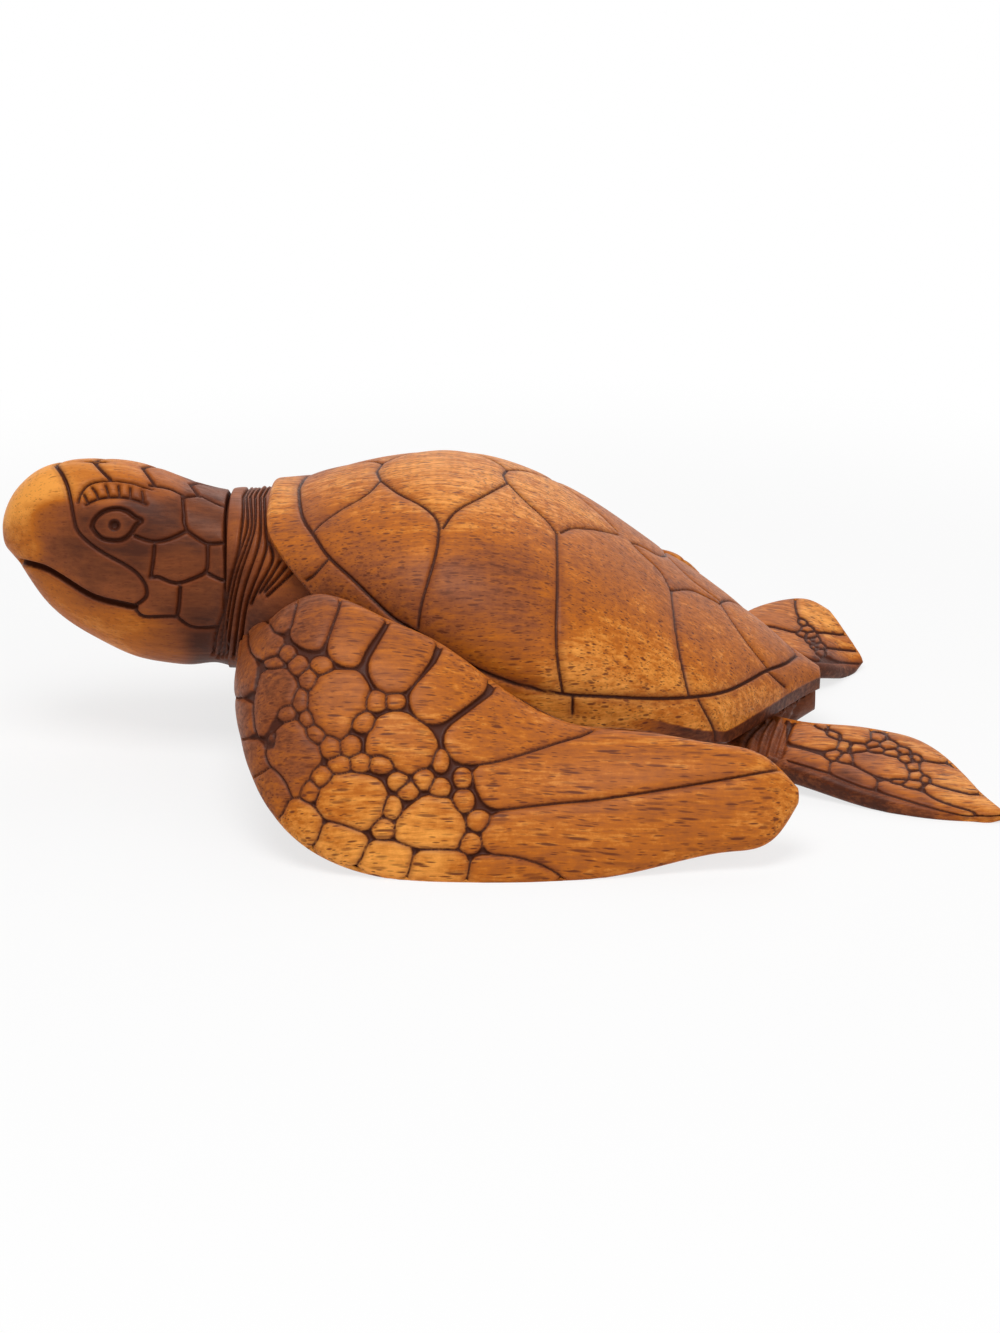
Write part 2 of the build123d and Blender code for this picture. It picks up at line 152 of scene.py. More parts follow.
def oval_path(roundness: float, flatness: float, top_count: int, bottom_count: int) -> Array:
    """Even steps round the rounded oval |a|^p + |b|^p = 1, from a = 1 over the top and back underneath.

    The curve is a = sgn(cos t)|cos t|^(2/p), b = sgn(sin t)|sin t|^(2/p), and t is chosen so that the
    steps are equally long on an oval that is flatness times as high as it is wide.

    Args:
        roundness: the power p; 2 is an oval and more is squarer.
        flatness: the oval's height over its width.
        top_count: steps over the top half.
        bottom_count: steps along the bottom half.

    Returns:
        Rows of (a, b).
    """
    t = np.linspace(0, math.pi, 20001)
    a = np.sign(np.cos(t)) * np.abs(np.cos(t)) ** (2 / roundness)
    b = np.abs(np.sin(t)) ** (2 / roundness)
    travelled = np.concatenate([[0], np.cumsum(np.hypot(np.diff(a), flatness * np.diff(b)))])
    halves = []
    for count, sign in ((top_count, 1), (bottom_count, -1)):
        steps = np.linspace(0, travelled[-1], count, endpoint=False)
        halves.append(np.stack([sign * np.interp(steps, travelled, a),
                                sign * np.interp(steps, travelled, b)], axis=-1))
    return np.vstack(halves)


@dataclass
class Skin:
    """A closed surface: rings of points from one end to the other, and a pole that closes each end."""

    rings: Array
    first_pole: Array
    last_pole: Array

    def normals(self) -> Array:
        """Outward unit normals of the rings' points: the cross product of the two grid directions.

        Returns:
            One normal for each point of the grid.
        """
        padded = np.concatenate([self.rings[:, -1:], self.rings, self.rings[:, :1]], axis=1)
        around = padded[:, 2:] - padded[:, :-2]
        along = np.gradient(self.rings, axis=0)
        return unit(np.cross(along, around)) * self.handedness()

    def handedness(self) -> float:
        """Which way the cross product of along and around points.

        Returns:
            1 if it points outwards, or else -1.
        """
        middle = self.rings[len(self.rings) // 2]
        along = self.rings[len(self.rings) // 2 + 1].mean(axis=0) - middle.mean(axis=0)
        spokes = middle - middle.mean(axis=0)
        turn = np.cross(spokes, np.roll(spokes, -1, axis=0)).sum(axis=0)
        return -1.0 if np.dot(turn, along) > 0 else 1.0

    def sunk(self, depth: Array) -> "Skin":
        """The skin with each point moved inwards along its normal by its depth."""
        return Skin(self.rings - self.normals() * depth[..., None], self.first_pole, self.last_pole)

    def to_object(self, name: str, values: dict[str, Array]) -> bpy.types.Object:
        """A smooth mesh of four-sided faces between the rings, with a fan of triangles at each pole.

        Args:
            name: the object's name.
            values: one number for each point of the rings, by the attribute's name.

        Returns:
            The object, at the origin.
        """
        rows, columns = self.rings.shape[:2]
        grid = np.arange(rows * columns).reshape(rows, columns)
        beside = np.roll(grid, -1, axis=1)
        first, last = rows * columns, rows * columns + 1
        quads = np.stack([grid[:-1], grid[1:], beside[1:], beside[:-1]], axis=-1).reshape(-1, 4)
        start_fan = np.stack([np.full(columns, first), grid[0], beside[0]], axis=-1)
        end_fan = np.stack([np.full(columns, last), beside[-1], grid[-1]], axis=-1)
        fans = np.vstack([start_fan, end_fan])
        if self.handedness() < 0:
            quads = quads[:, ::-1]
            fans = fans[:, ::-1]
        points = np.vstack([self.rings.reshape(-1, 3), self.first_pole, self.last_pole])
        mesh = bpy.data.meshes.new(name)
        mesh.vertices.add(len(points))
        mesh.vertices.foreach_set("co", points.astype(np.float32).ravel())
        corners = np.concatenate([quads.ravel(), fans.ravel()]).astype(np.int32)
        starts = np.concatenate([np.arange(len(quads)) * 4, quads.size + np.arange(len(fans)) * 3])
        mesh.loops.add(len(corners))
        mesh.loops.foreach_set("vertex_index", corners)
        mesh.polygons.add(len(starts))
        mesh.polygons.foreach_set("loop_start", starts.astype(np.int32))
        mesh.polygons.foreach_set("use_smooth", np.ones(len(starts), bool))
        mesh.update(calc_edges=True)
        mesh.validate()
        for key, value in values.items():
            whole = np.concatenate([value.ravel(), [value[0].mean(), value[-1].mean()]])
            attribute = mesh.attributes.new(key, "FLOAT", "POINT")
            attribute.data.foreach_set("value", whole.astype(np.float32))
        piece = bpy.data.objects.new(name, mesh)
        bpy.context.scene.collection.objects.link(piece)
        return piece


@dataclass(frozen=True)
class PhotoView:
    """The photograph's pinhole camera, which looks along +Y and down at the turtle's left side."""

    aim_x: float = front_x + 90 * MM
    distance: float = 1.4
    elevation: float = math.radians(20)
    focal_pixels: float = 3500.0
    aim_column: float = 500.0
    aim_row: float = 730.0
    frame_height: float = 1333.0

    def project(self, points: Array) -> tuple[Array, Array, Array]:
        """Where points appear in the picture, and how fast each pixel coordinate grows in space.

        A point (x, y, z) is right = x - aim_x, up = z cos e + y sin e and depth = distance + y cos e
        - z sin e away, and appears at column = aim + f right / depth and row = aim - f up / depth.

        Args:
            points: rows of (x, y, z).

        Returns:
            The (column, row) of each point, the gradient of its column and the gradient of its row.
        """
        sine, cosine = math.sin(self.elevation), math.cos(self.elevation)
        right = points[:, 0] - self.aim_x
        up = points[:, 2] * cosine + points[:, 1] * sine
        depth = self.distance + points[:, 1] * cosine - points[:, 2] * sine
        zoom = (self.focal_pixels / depth)[:, None]
        pixels = np.stack([self.aim_column + zoom[:, 0] * right, self.aim_row - zoom[:, 0] * up], axis=-1)
        away = np.array([0, cosine, -sine])
        column_slope = zoom * (np.array([1, 0, 0]) - (right / depth)[:, None] * away)
        row_slope = -zoom * (np.array([0, sine, cosine]) - (up / depth)[:, None] * away)
        return pixels, column_slope, row_slope

    def towards(self) -> Array:
        """The unit vector from the turtle to the camera."""
        return np.array([0, -math.cos(self.elevation), math.sin(self.elevation)])

    def camera(self) -> bpy.types.Object:
        """The scene's camera, tipped up a little so that the aim point lies below the frame's middle.

        Returns:
            The camera, already made the scene's own.
        """
        data = bpy.data.cameras.new("photo_camera")
        data.sensor_width = 36.0
        data.lens = self.focal_pixels / self.frame_height * data.sensor_width
        data.clip_start = 0.05
        data.clip_end = 50.0
        camera = bpy.data.objects.new("photo_camera", data)
        camera.location = np.array([self.aim_x, 0, 0]) + self.distance * self.towards()
        tip = math.atan((self.aim_row - self.frame_height / 2) / self.focal_pixels)
        camera.rotation_euler = (math.pi / 2 - self.elevation + tip, 0, 0)
        bpy.context.scene.collection.objects.link(camera)
        bpy.context.scene.camera = camera
        return camera


class Carver:
    """Measures on a skin, in millimetres, how far its points lie from lines drawn on the photograph."""

    least_slope = 500.0  # pixels per metre, so that a grazing surface gets no endless grooves
    reach = 14.0  # pixels past which a scale's outline isn't looked at
    growth = 1.2  # pixels by which scales are larger than their outlines
    least_gap = 1.3  # pixels that a scale keeps from the line halfway to its neighbour

    def __init__(self, view: PhotoView, skin: Skin, mirrored: bool = True) -> None:
        """Projects the skin on the photograph.

        Args:
            view: the photograph's camera.
            skin: the skin to carve.
            mirrored: whether its right side is taken as the mirror image of the left.
        """
        points = skin.rings.reshape(-1, 3).copy()
        normals = skin.normals().reshape(-1, 3).copy()
        flip = np.where(mirrored & (points[:, 1] > 0), -1.0, 1.0)
        points[:, 1] *= flip
        normals[:, 1] *= flip
        self.shape = skin.rings.shape[:2]
        self.normal = normals
        self.pixels, self.column_slope, self.row_slope = view.project(points)
        self.facing = smoothstep(-0.1, 0.08, normals @ view.towards()).reshape(self.shape)

    def millimetres(self, distance: Array, away: Array) -> Array:
        """Pixel distances turned into distances along the surface.

        The distance grows along the surface as fast as its gradient in space, less the part of that
        gradient along the normal.

        Args:
            distance: the pixel distance of each point.
            away: the unit vector in the picture along which it grows.

        Returns:
            The distance of each point in millimetres.
        """
        slope = away[:, :1] * self.column_slope + away[:, 1:] * self.row_slope
        slope -= (slope * self.normal).sum(axis=1, keepdims=True) * self.normal
        steepness = np.maximum(np.linalg.norm(slope, axis=1), self.least_slope)
        return distance / steepness / MM

    def nearest(self, line: Array, chosen: Array) -> tuple[Array, Array]:
        """How far the chosen points lie from a line, run by run.

        Args:
            line: the line's places in pixels.
            chosen: which points to measure.

        Returns:
            The pixel distance of each chosen point, and the unit vector away from the line.
        """
        best = np.full(int(chosen.sum()), np.inf)
        away = np.zeros((len(best), 2))
        places = self.pixels[chosen]
        for start, end in zip(line[:-1], line[1:]):
            run = end - start
            share = np.clip((places - start) @ run / max(run @ run, TINY), 0, 1)
            gap = places - start - share[:, None] * run
            far = np.hypot(gap[:, 0], gap[:, 1])
            closer = far < best
            best = np.where(closer, far, best)
            away = np.where(closer[:, None], gap, away)
        return best, unit(away)

    def near_box(self, line: Array, margin: float) -> Array:
        """Which points lie within a margin of the line's box."""
        low, high = line.min(axis=0) - margin, line.max(axis=0) + margin
        return np.all((self.pixels > low) & (self.pixels < high), axis=1)

    def from_lines(self, lines: Sequence[Places], rounds: int = 2) -> Array:
        """Millimetres to the nearest of some open lines.

        Args:
            lines: the lines' corners in pixels.
            rounds: how often the corners are cut.

        Returns:
            The distance for each point of the grid, at most NO_LINE_NEAR.
        """
        result = np.full(len(self.pixels), NO_LINE_NEAR)
        for places in lines:
            line = soften(places, closed=False, rounds=rounds)
            chosen = self.near_box(line, 3 * self.reach)
            if not chosen.any():
                continue
            distance, away = self.nearest(line, chosen)
            whole = np.zeros((len(self.pixels), 2))
            whole[chosen] = away
            full = np.full(len(self.pixels), np.inf)
            full[chosen] = distance
            result = np.minimum(result, self.millimetres(full, whole))
        return result.reshape(self.shape)

    def from_scales(self, outlines: Sequence[Places], rounds: int = 1) -> Array:
        """Millimetres outside the nearest scale, negative inside one.

        With d1 and d2 the distances from the nearest scale and the next one, this is the larger of d1 and
        gap - (d2 - d1) / 2, so that scales that touch or overlap are parted by a line halfway.

        Args:
            outlines: closed outlines of the scales' raised tops.
            rounds: how often the outlines' corners are cut.

        Returns:
            The signed distance for each point of the grid.
        """
        best = np.full(len(self.pixels), self.reach)
        second = best.copy()
        away = np.tile([0.0, 1.0], (len(best), 1))
        for places in outlines:
            outline = soften(places, closed=True, rounds=rounds)
            chosen = self.near_box(outline, self.reach)
            if not chosen.any():
                continue
            ring = np.vstack([outline, outline[:1]])
            distance, direction = self.nearest(ring, chosen)
            signed = np.where(self.inside(ring, chosen), -distance, distance) - self.growth
            index = np.flatnonzero(chosen)
            closer = signed < best[index]
            second[index] = np.where(closer, best[index], np.minimum(second[index], signed))
            best[index[closer]] = signed[closer]
            away[index[closer]] = direction[closer]
        outside = np.maximum(best, self.least_gap - (second - best) / 2)
        return self.millimetres(outside, away).reshape(self.shape)

    def tone_and_shade_at(self, spots: Spots, far_away: float = 0.4) -> Array:
        """How dark the wood is painted, 0 to 1, painted shade and highlights included: the mean of the spots'
        tones, each weighted by exp(-(gap / reach)^2).

        Args:
            spots: column, row, reach in pixels and tone of each spot.
            far_away: the tone where no spot is near.

        Returns:
            The tone for each point of the grid.
        """
        weights = np.full(len(self.pixels), 1e-4)
        tone = weights * far_away
        for column, row, reach, dark in spots:
            weight = np.exp(-((self.pixels - (column, row)) ** 2).sum(axis=1) / reach**2)
            weights += weight
            tone += weight * dark
        return (tone / weights).reshape(self.shape)

    def inside(self, ring: Array, chosen: Array) -> Array:
        """Which points a closed line goes round: a ray to the left crosses it an odd number of times.

        Args:
            ring: the line's places in pixels, with the first one again at its end.
            chosen: which points to look at.

        Returns:
            True for each chosen point inside.
        """
        column, row = self.pixels[chosen].T
        odd = np.zeros(len(column), bool)
        for (x0, y0), (x1, y1) in zip(ring[:-1], ring[1:]):
            spans = (y0 > row) != (y1 > row)
            crossing = x0 + (row - y0) * (x1 - x0) / (y1 - y0 + TINY)
            odd ^= spans & (column > crossing)
        return odd


@dataclass(frozen=True)
class Gouge:
    """A groove cut with a small gouge, rounded over beside it and stained, with painted shade in it, all in
    millimetres.

    The stain and painted shade reach this far past the groove's middle line, or stop short of it if less than
    0.
    """

    half_width: float = 1.1
    depth: float = 1.3
    round_over: float = 0.35
    round_reach: float = 3.0
    stain_and_shade: float = 0.3

    def mark(self, distance: Array) -> tuple[Array, Array]:
        """The cut beside a line, and the distance from its stain and painted shade."""
        return self.cut(distance), distance - self.stain_and_shade

    def cut(self, distance: Array) -> Array:
        """Depth beside a line: a smooth V of the half width, in wood that falls off towards it."""
        v = 1 - smoothstep(0, self.half_width, distance)
        return (self.depth * v + self.round_over * np.exp(-distance / self.round_reach)) * MM

    def lower(self, outside: Array) -> Array:
        """Depth round raised scales: from their rounded brow down to the floor between them.

        Args:
            outside: millimetres outside the nearest scale, negative inside it.

        Returns:
            The depth in metres.
        """
        floor = smoothstep(-0.3, 1.5 * self.half_width, outside)
        brow = self.round_over * np.exp(np.minimum(outside, 0) / self.round_reach)
        return (self.depth * floor + brow) * MM


@dataclass(frozen=True)
class Carving:
    """What was done to a skin: how deep each point lies, how far from a groove it is, and how dark it is
    painted, painted shade and highlights included.
    """

    depth: Array
    groove: Array
    tone: Array

    @staticmethod
    def of(carver: Carver, cuts: Sequence[tuple[Array, Array]], spots: Spots) -> "Carving":
        """Joins cuts on one skin: the deepest cut wins, and the nearest groove is kept.

        Args:
            carver: the carver that measured the skin.
            cuts: pairs of depth in metres and distance from the groove in millimetres.
            spots: the spots that say how dark the wood is painted, painted shade and highlights included.

        Returns:
            The carving, faded out where the surface turns away from the camera.
        """
        depth = np.zeros(carver.shape)
        groove = np.full(carver.shape, NO_GROOVE_NEAR)
        for cut_depth, cut_groove in cuts:
            depth = np.maximum(depth, cut_depth)
            groove = np.minimum(groove, cut_groove)
        turned_away = NO_GROOVE_NEAR * (1 - carver.facing)
        groove = np.minimum(groove + turned_away, NO_GROOVE_NEAR)
        return Carving(depth * carver.facing, groove, carver.tone_and_shade_at(spots))

    def apply(self, skin: Skin, name: str) -> bpy.types.Object:
        """The carved skin as an object, with its tone, painted shade and highlights included, and its
        distance from a groove as attributes.
        """
        return skin.sunk(self.depth).to_object(name, {"groove": self.groove, "tone": self.tone})


def seam_height(x: Array) -> Array:
    """Height of the glued seam under the shell: it slopes down, and is level behind that.

    Args:
        x: how far behind the shell's front face.

    Returns:
        The height of each.
    """
    low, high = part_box("carapace")
    slope_end = (tail_x - front_x) - Shell.seam_level_length
    drop = (Shell.seam_front_height - low.z) * x / slope_end
    return np.maximum(Shell.seam_front_height - drop, low.z)


def shell_underside(x: Array) -> Array:
    """Height of the shell's underside: the seam, and straight up from it to the collar's edge in front.

    Args:
        x: how far behind the shell's front face.

    Returns:
        The height of each.
    """
    collar_front = Shell.collar_front_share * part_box("carapace")[1].z
    collar_end = seam_height(np.array(Shell.collar_length))
    share = np.clip(x / Shell.collar_length, 0, 1)
    return np.where(share < 1, collar_front + (collar_end - collar_front) * share, seam_height(x))


@dataclass
class Shell:
    """The domed carapace: an elliptic arch on upright rims, sawn off along the sloping seam."""

    seam_level_length = 41 * MM
    seam_front_height = 79.2 * MM
    collar_front_share = 0.84
    collar_length = 22 * MM

    rim: float = 6 * MM
    undercut_slope: float = 0.25
    sag: float = 4.5 * MM
    sag_place: float = 116 * MM
    sag_reach: float = 18 * MM
    least_wall: float = 0.6 * MM
    lip: float = 3 * MM
    corner: float = 1.2 * MM
    rows: int = 320
    arch_steps: int = 250
    scute_gouge: Gouge = Gouge(half_width=0.8, depth=1.0, round_over=0.9, round_reach=3.0, stain_and_shade=0.4)
    rim_gouge: Gouge = Gouge(half_width=1.0, depth=1.2, round_over=0.9, round_reach=3.0, stain_and_shade=0.5)
    # Painted shade on the rim's wall at the rear: how dark it is, and the shares of the length where it
    # begins and where it is full.
    wall_painted_shade: float = 0.95
    wall_start: float = 0.6  # share of the length at which the rim's wall begins to darken
    wall_end: float = 0.75  # and at which it is all dark

    # Share of the length, share of the half width, share of the height at the crown
    sections = (
        (0.0, 0.472, 0.908), (0.055, 0.584, 0.914), (0.111, 0.674, 0.941), (0.207, 0.82, 0.98),
        (0.323, 0.944, 1.0), (0.461, 1.0, 0.936), (0.599, 0.978, 0.789), (0.714, 0.899, 0.626),
        (0.793, 0.809, 0.52), (0.83, 0.697, 0.472), (0.876, 0.517, 0.41), (0.922, 0.337, 0.345),
        (0.968, 0.157, 0.28), (1.0, 0.056, 0.238),
    )

    # The line between the scutes and the rim's plates, in pixels
    rim_line = (
        (298, 481), (299, 505), (303.5, 520), (313, 533), (326, 555), (350, 577), (372, 600), (393, 620),
        (417, 633), (430, 644), (476, 670), (508, 683), (560, 696), (605, 697), (654, 699), (690, 697),
        (727, 692), (751, 680), (768, 669), (787, 663), (799, 653),
    )

    # Lines between the scutes, and across the rim's plates, in pixels
    scute_lines = (
        ((372, 460), (380, 478)), ((380, 478), (367, 493), (341, 507), (322, 520), (312, 530)),
        ((380, 478), (398, 492), (422, 503), (437, 516), (439, 527)),
        ((439, 527), (437, 548), (428, 579), (419.5, 607), (417, 629)),
        ((443, 526), (454, 509), (480, 496), (508, 481)), ((497.5, 458), (508, 481)),
        ((508, 480), (525, 498), (550, 520), (558, 532)), ((558, 532), (559, 575), (556, 648), (563, 695)),
        ((562, 531), (571, 526), (593, 527), (619, 533)), ((615, 515), (621, 527)),
        ((621, 527), (639, 549), (664, 571), (673, 590)), ((673, 590), (678, 636), (685, 672), (691, 697)),
        ((674, 589), (690, 587), (707, 595), (720, 602)), ((712, 585), (722, 602)),
        ((722, 602), (744, 636), (768, 666)), ((573, 699), (573, 716)),
        ((700, 699), (717, 731), (717, 743)), ((768, 669), (787, 687)),
        ((305, 581), (312, 576), (320, 566), (329, 556)),
    )

    # How dark the wood is painted, partly its own tone and partly painted shade and painted highlights:
    # column, row and reach in pixels, and the tone
    spots = (
        (440, 475, 50, 0.2), (590, 505, 35, 0.2), (340, 490, 30, 0.3), (350, 570, 45, 0.6),
        (495, 510, 25, 0.2), (485, 575, 35, 0.7), (500, 645, 35, 0.5), (600, 560, 40, 0.5),
        (620, 650, 40, 0.3), (690, 600, 30, 0.5), (730, 640, 30, 0.4), (785, 660, 20, 0.5),
        (600, 715, 45, 0.1), (700, 715, 30, 0.2), (765, 690, 20, 0.3), (280, 490, 15, 0.2),
        (300, 545, 20, 0.5), (318, 515, 15, 0.7), (400, 620, 30, 0.6), (480, 685, 20, 0.3),
        (400, 515, 25, 0.4),
    )

    def skin(self) -> Skin:
        """Rings across the shell: y = w cos t, z = edge + (crown - edge) sin t over the arch, then the rim.

        The half width w and the crown follow cubics through the sections. Near the front face both are
        drawn in by lip - sqrt(lip^2 - (lip - x)^2), a quarter round. The arch ends at the angle t where the
        rim's wall starts, and the wall slants in by the undercut's slope. Where the flipper's edge leaves
        the wall in view, it hangs lower by sag exp(-((x - place) / reach)^2).

        Returns:
            The shell's skin.
        """
        low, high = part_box("carapace")
        table = np.array(self.sections)
        length = high.x - low.x
        x = np.concatenate([self.lip * (1 - np.cos(np.linspace(0, math.pi / 2, 8)))[:-1],
                            np.linspace(self.lip, length, self.rows)])
        width, crown = smooth_through(table[:, 0] * length, table[:, 1:] * (high.y, high.z), x).T
        inset = self.lip - np.sqrt(self.lip**2 - np.maximum(self.lip - x, 0) ** 2)
        sag = self.sag * np.exp(-(((x - self.sag_place) / self.sag_reach) ** 2))
        seam = shell_underside(x) + inset - sag
        edge = seam_height(x) + self.rim
        width, crown = (width - inset)[:, None], (crown - inset)[:, None]
        seam, edge = seam[:, None], edge[:, None]
        arch = oval_path(2.0, 0.65, self.arch_steps, 1)[:-1]
        turn = np.linspace(0, math.pi / 2, 5)
        wall = np.linspace(1, 0, 6, endpoint=False)
        bottom = np.linspace(-1, 1, 18)[1:-1]
        foot = seam + self.corner
        start = np.arcsin(np.clip((foot + self.least_wall - edge) / (crown - edge), 0, 1))
        angle = start + np.arctan2(arch[:, 1], arch[:, 0]) * (1 - 2 * start / math.pi)
        over_y = np.cos(angle) * width
        over_z = edge + np.sin(angle) * (crown - edge)
        brink = edge + np.sin(start) * (crown - edge)
        down_z = foot + wall * (brink - foot)
        undercut = self.undercut_slope * smoothstep(0.5, 0.75, x / length)[:, None]
        down_y = -np.cos(start) * width + undercut * (brink - down_z)
        foot_y = np.cos(start) * width - undercut * (brink - foot)
        round_y = -foot_y + self.corner * (1 - np.cos(turn))
        round_z = seam + self.corner * (1 - np.sin(turn))
        under_y = (foot_y - self.corner) * bottom
        under_z = seam + 0 * bottom
        y = np.hstack([over_y, down_y, round_y, under_y, -round_y[:, ::-1], -down_y[:, ::-1]])
        z = np.hstack([over_z, down_z, round_z, under_z, round_z[:, ::-1], down_z[:, ::-1]])
        rings = np.stack([np.broadcast_to((front_x + x)[:, None], y.shape), y, z], axis=-1)
        front = np.array([front_x, 0, (seam[0, 0] + crown[0, 0]) / 2])
        back = np.array([tail_x, 0, rings[-1, :, 2].mean()])
        shrink = np.linspace(0.1, 1, 8, endpoint=False)[:, None, None]
        cap = front + (rings[0] - front) * shrink
        return Skin(np.concatenate([cap, rings]), front, back)

    def build(self, view: PhotoView) -> bpy.types.Object:
        """Carves the shell, and paints shade on the wall of its rim at the rear.

        Args:
            view: the photograph's camera.

        Returns:
            The carved shell.
        """
        skin = self.skin()
        carver = Carver(view, skin)
        scutes = carver.from_lines(self.scute_lines)
        rim = carver.from_lines([self.rim_line])
        carving = Carving.of(carver, [self.scute_gouge.mark(scutes), self.rim_gouge.mark(rim)], self.spots)
        along = (skin.rings[..., 0] - front_x) / (tail_x - front_x)
        above = skin.rings[..., 2] - seam_height(skin.rings[..., 0] - front_x) - self.rim
        # Painted shade on the rim's wall just under its edge, towards the rear.
        on_wall = smoothstep(0.3 * MM, -0.8 * MM, above)
        on_rear_wall = smoothstep(self.wall_start, self.wall_end, along) * on_wall
        tone = np.maximum(carving.tone, self.wall_painted_shade * on_rear_wall)
        return Carving(carving.depth, carving.groove, tone).apply(skin, "carved_shell")


@dataclass
class Body:
    """The trunk: a neck stump with its folds, the chest, the belly and the tail."""

    stump: float = 16 * MM
    neck_half_width: float = 34 * MM
    neck_bottom: float = 30 * MM
    neck_top: float = 98 * MM
    chest_half_width: float = 43 * MM
    roundness: float = 2.6
    columns: int = 300
    fold_gouge: Gouge = Gouge(half_width=1.0, depth=1.7, round_over=0.5, round_reach=1.2)
    hip_gouge: Gouge = Gouge(half_width=1.9, depth=1.8, round_over=0.6, round_reach=1.5, stain_and_shade=-0.2)

    # Share of the shell's length and half width, then the middle and bottom as shares of the seam's height
    sections = (
        (0.07, 0.54, 0.83, 0.35), (0.23, 0.72, 0.86, 0.31), (0.415, 0.82, 0.88, 0.28),
        (0.599, 0.77, 0.9, 0.24), (0.76, 0.56, 0.93, 0.2), (0.86, 0.4, 0.93, 0.19), (0.93, 0.27, 0.9, 0.21),
        (0.955, 0.16, 0.83, 0.3), (0.992, 0.056, 0.8, 0.5),
    )

    # The cut that hides the glued seam of the neck, in pixels
    neck_seam = (
        (231, 483), (228, 495), (226, 510), (224.5, 530), (224, 550), (224, 580), (223, 600), (222.5, 617),
    )

    # Folds of the neck, which run on over the back of the head, and those that fan out to the shoulder
    neck_folds = (
        neck_seam,
        ((243, 494), (243, 512), (238, 545), (234.5, 559), (227.4, 586), (222.6, 612), (215.5, 631),
         (213, 655)),
        ((246, 494), (248, 524), (240.5, 545), (232, 569), (226, 597), (221.5, 626), (218, 658)),
        ((250, 494), (252, 524), (245, 545), (236, 569), (230, 595), (225.5, 624), (222, 658)),
        ((255, 494), (255, 524), (249, 545), (240.5, 569), (234.5, 593), (230, 621), (226, 658)),
        ((260, 494), (260.5, 526), (258, 545), (250, 567), (243, 588), (238, 612), (233, 658)),
        ((264, 494), (265, 531), (267, 545), (259.5, 567), (251, 588), (244, 609), (239, 657)),
        ((268, 540), (274, 557), (265.5, 574), (256, 590), (250, 605)),
        ((280, 560), (270, 577), (258, 594)), ((286, 566), (276, 579), (263, 593)),
        ((293, 571), (280, 584), (266, 597)),
    )

    # Folds between the hip and the shell, in pixels
    hip_folds = (
        ((806, 694), (794, 715), (786, 734), (779, 756)), ((798, 696), (786, 715), (779, 734), (773, 754)),
        ((786, 703), (774, 720), (768, 737), (763, 754)), ((774, 713), (762, 727), (757, 739), (754, 751)),
        ((762, 720), (750, 732), (745, 739), (742, 748)),
    )

    # How dark the wood is painted, partly its own tone and partly painted shade on the neck and in the hip's
    # folds: column, row and reach in pixels, and the tone
    spots = (
        (230, 600, 40, 0.9), (250, 520, 25, 0.7), (270, 580, 20, 0.5), (775, 735, 25, 0.9),
    )

    def skin(self) -> Skin:
        """Upright rounded ovals from the neck's glued face to the tail, cut off flat at the seam.

        y = a w and z = middle + b (middle - bottom), with a cubic through the sections along the length.

        Returns:
            The trunk's skin.
        """
        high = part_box("carapace")[1]
        length = tail_x - front_x
        table = np.array(self.sections)
        x = table[:, 0] * length
        seam = seam_height(x)
        neck = [
            (-self.stump, self.neck_half_width, (self.neck_top + self.neck_bottom) / 2, self.neck_bottom),
            (0.0, self.chest_half_width, (self.neck_top + self.neck_bottom) / 2, self.neck_bottom),
        ]
        belly = np.stack([x, table[:, 1] * high.y, table[:, 2] * seam, table[:, 3] * seam], axis=-1)
        stations = np.vstack([neck, belly])
        rows = np.concatenate([np.linspace(-self.stump, 1 * MM, 56), np.linspace(1.4 * MM, 18 * MM, 50),
                               np.linspace(19 * MM, stations[-1, 0], 120)])
        width, middle, bottom = smooth_through(stations[:, 0], stations[:, 1:], rows).T[:, :, None]
        path = oval_path(self.roundness, 0.8, self.columns // 2, self.columns // 2)
        y = path[:, 0] * width
        z = middle + path[:, 1] * (middle - bottom)
        ceiling = np.where(rows > 1 * MM, shell_underside(rows) - 0.1 * MM, 1.0)[:, None]
        z = np.minimum(z, ceiling)
        rings = np.stack([np.broadcast_to((front_x + rows)[:, None], y.shape), y, z], axis=-1)
        return Skin(rings, rings[0].mean(axis=0), rings[-1].mean(axis=0))

    def build(self, view: PhotoView) -> bpy.types.Object:
        """Carves the trunk.

        Args:
            view: the photograph's camera.

        Returns:
            The carved trunk.
        """
        skin = self.skin()
        carver = Carver(view, skin)
        folds = carver.from_lines(self.neck_folds)
        hips = carver.from_lines(self.hip_folds)
        carving = Carving.of(carver, [self.fold_gouge.mark(folds), self.hip_gouge.mark(hips)], self.spots)
        return carving.apply(skin, "carved_body")


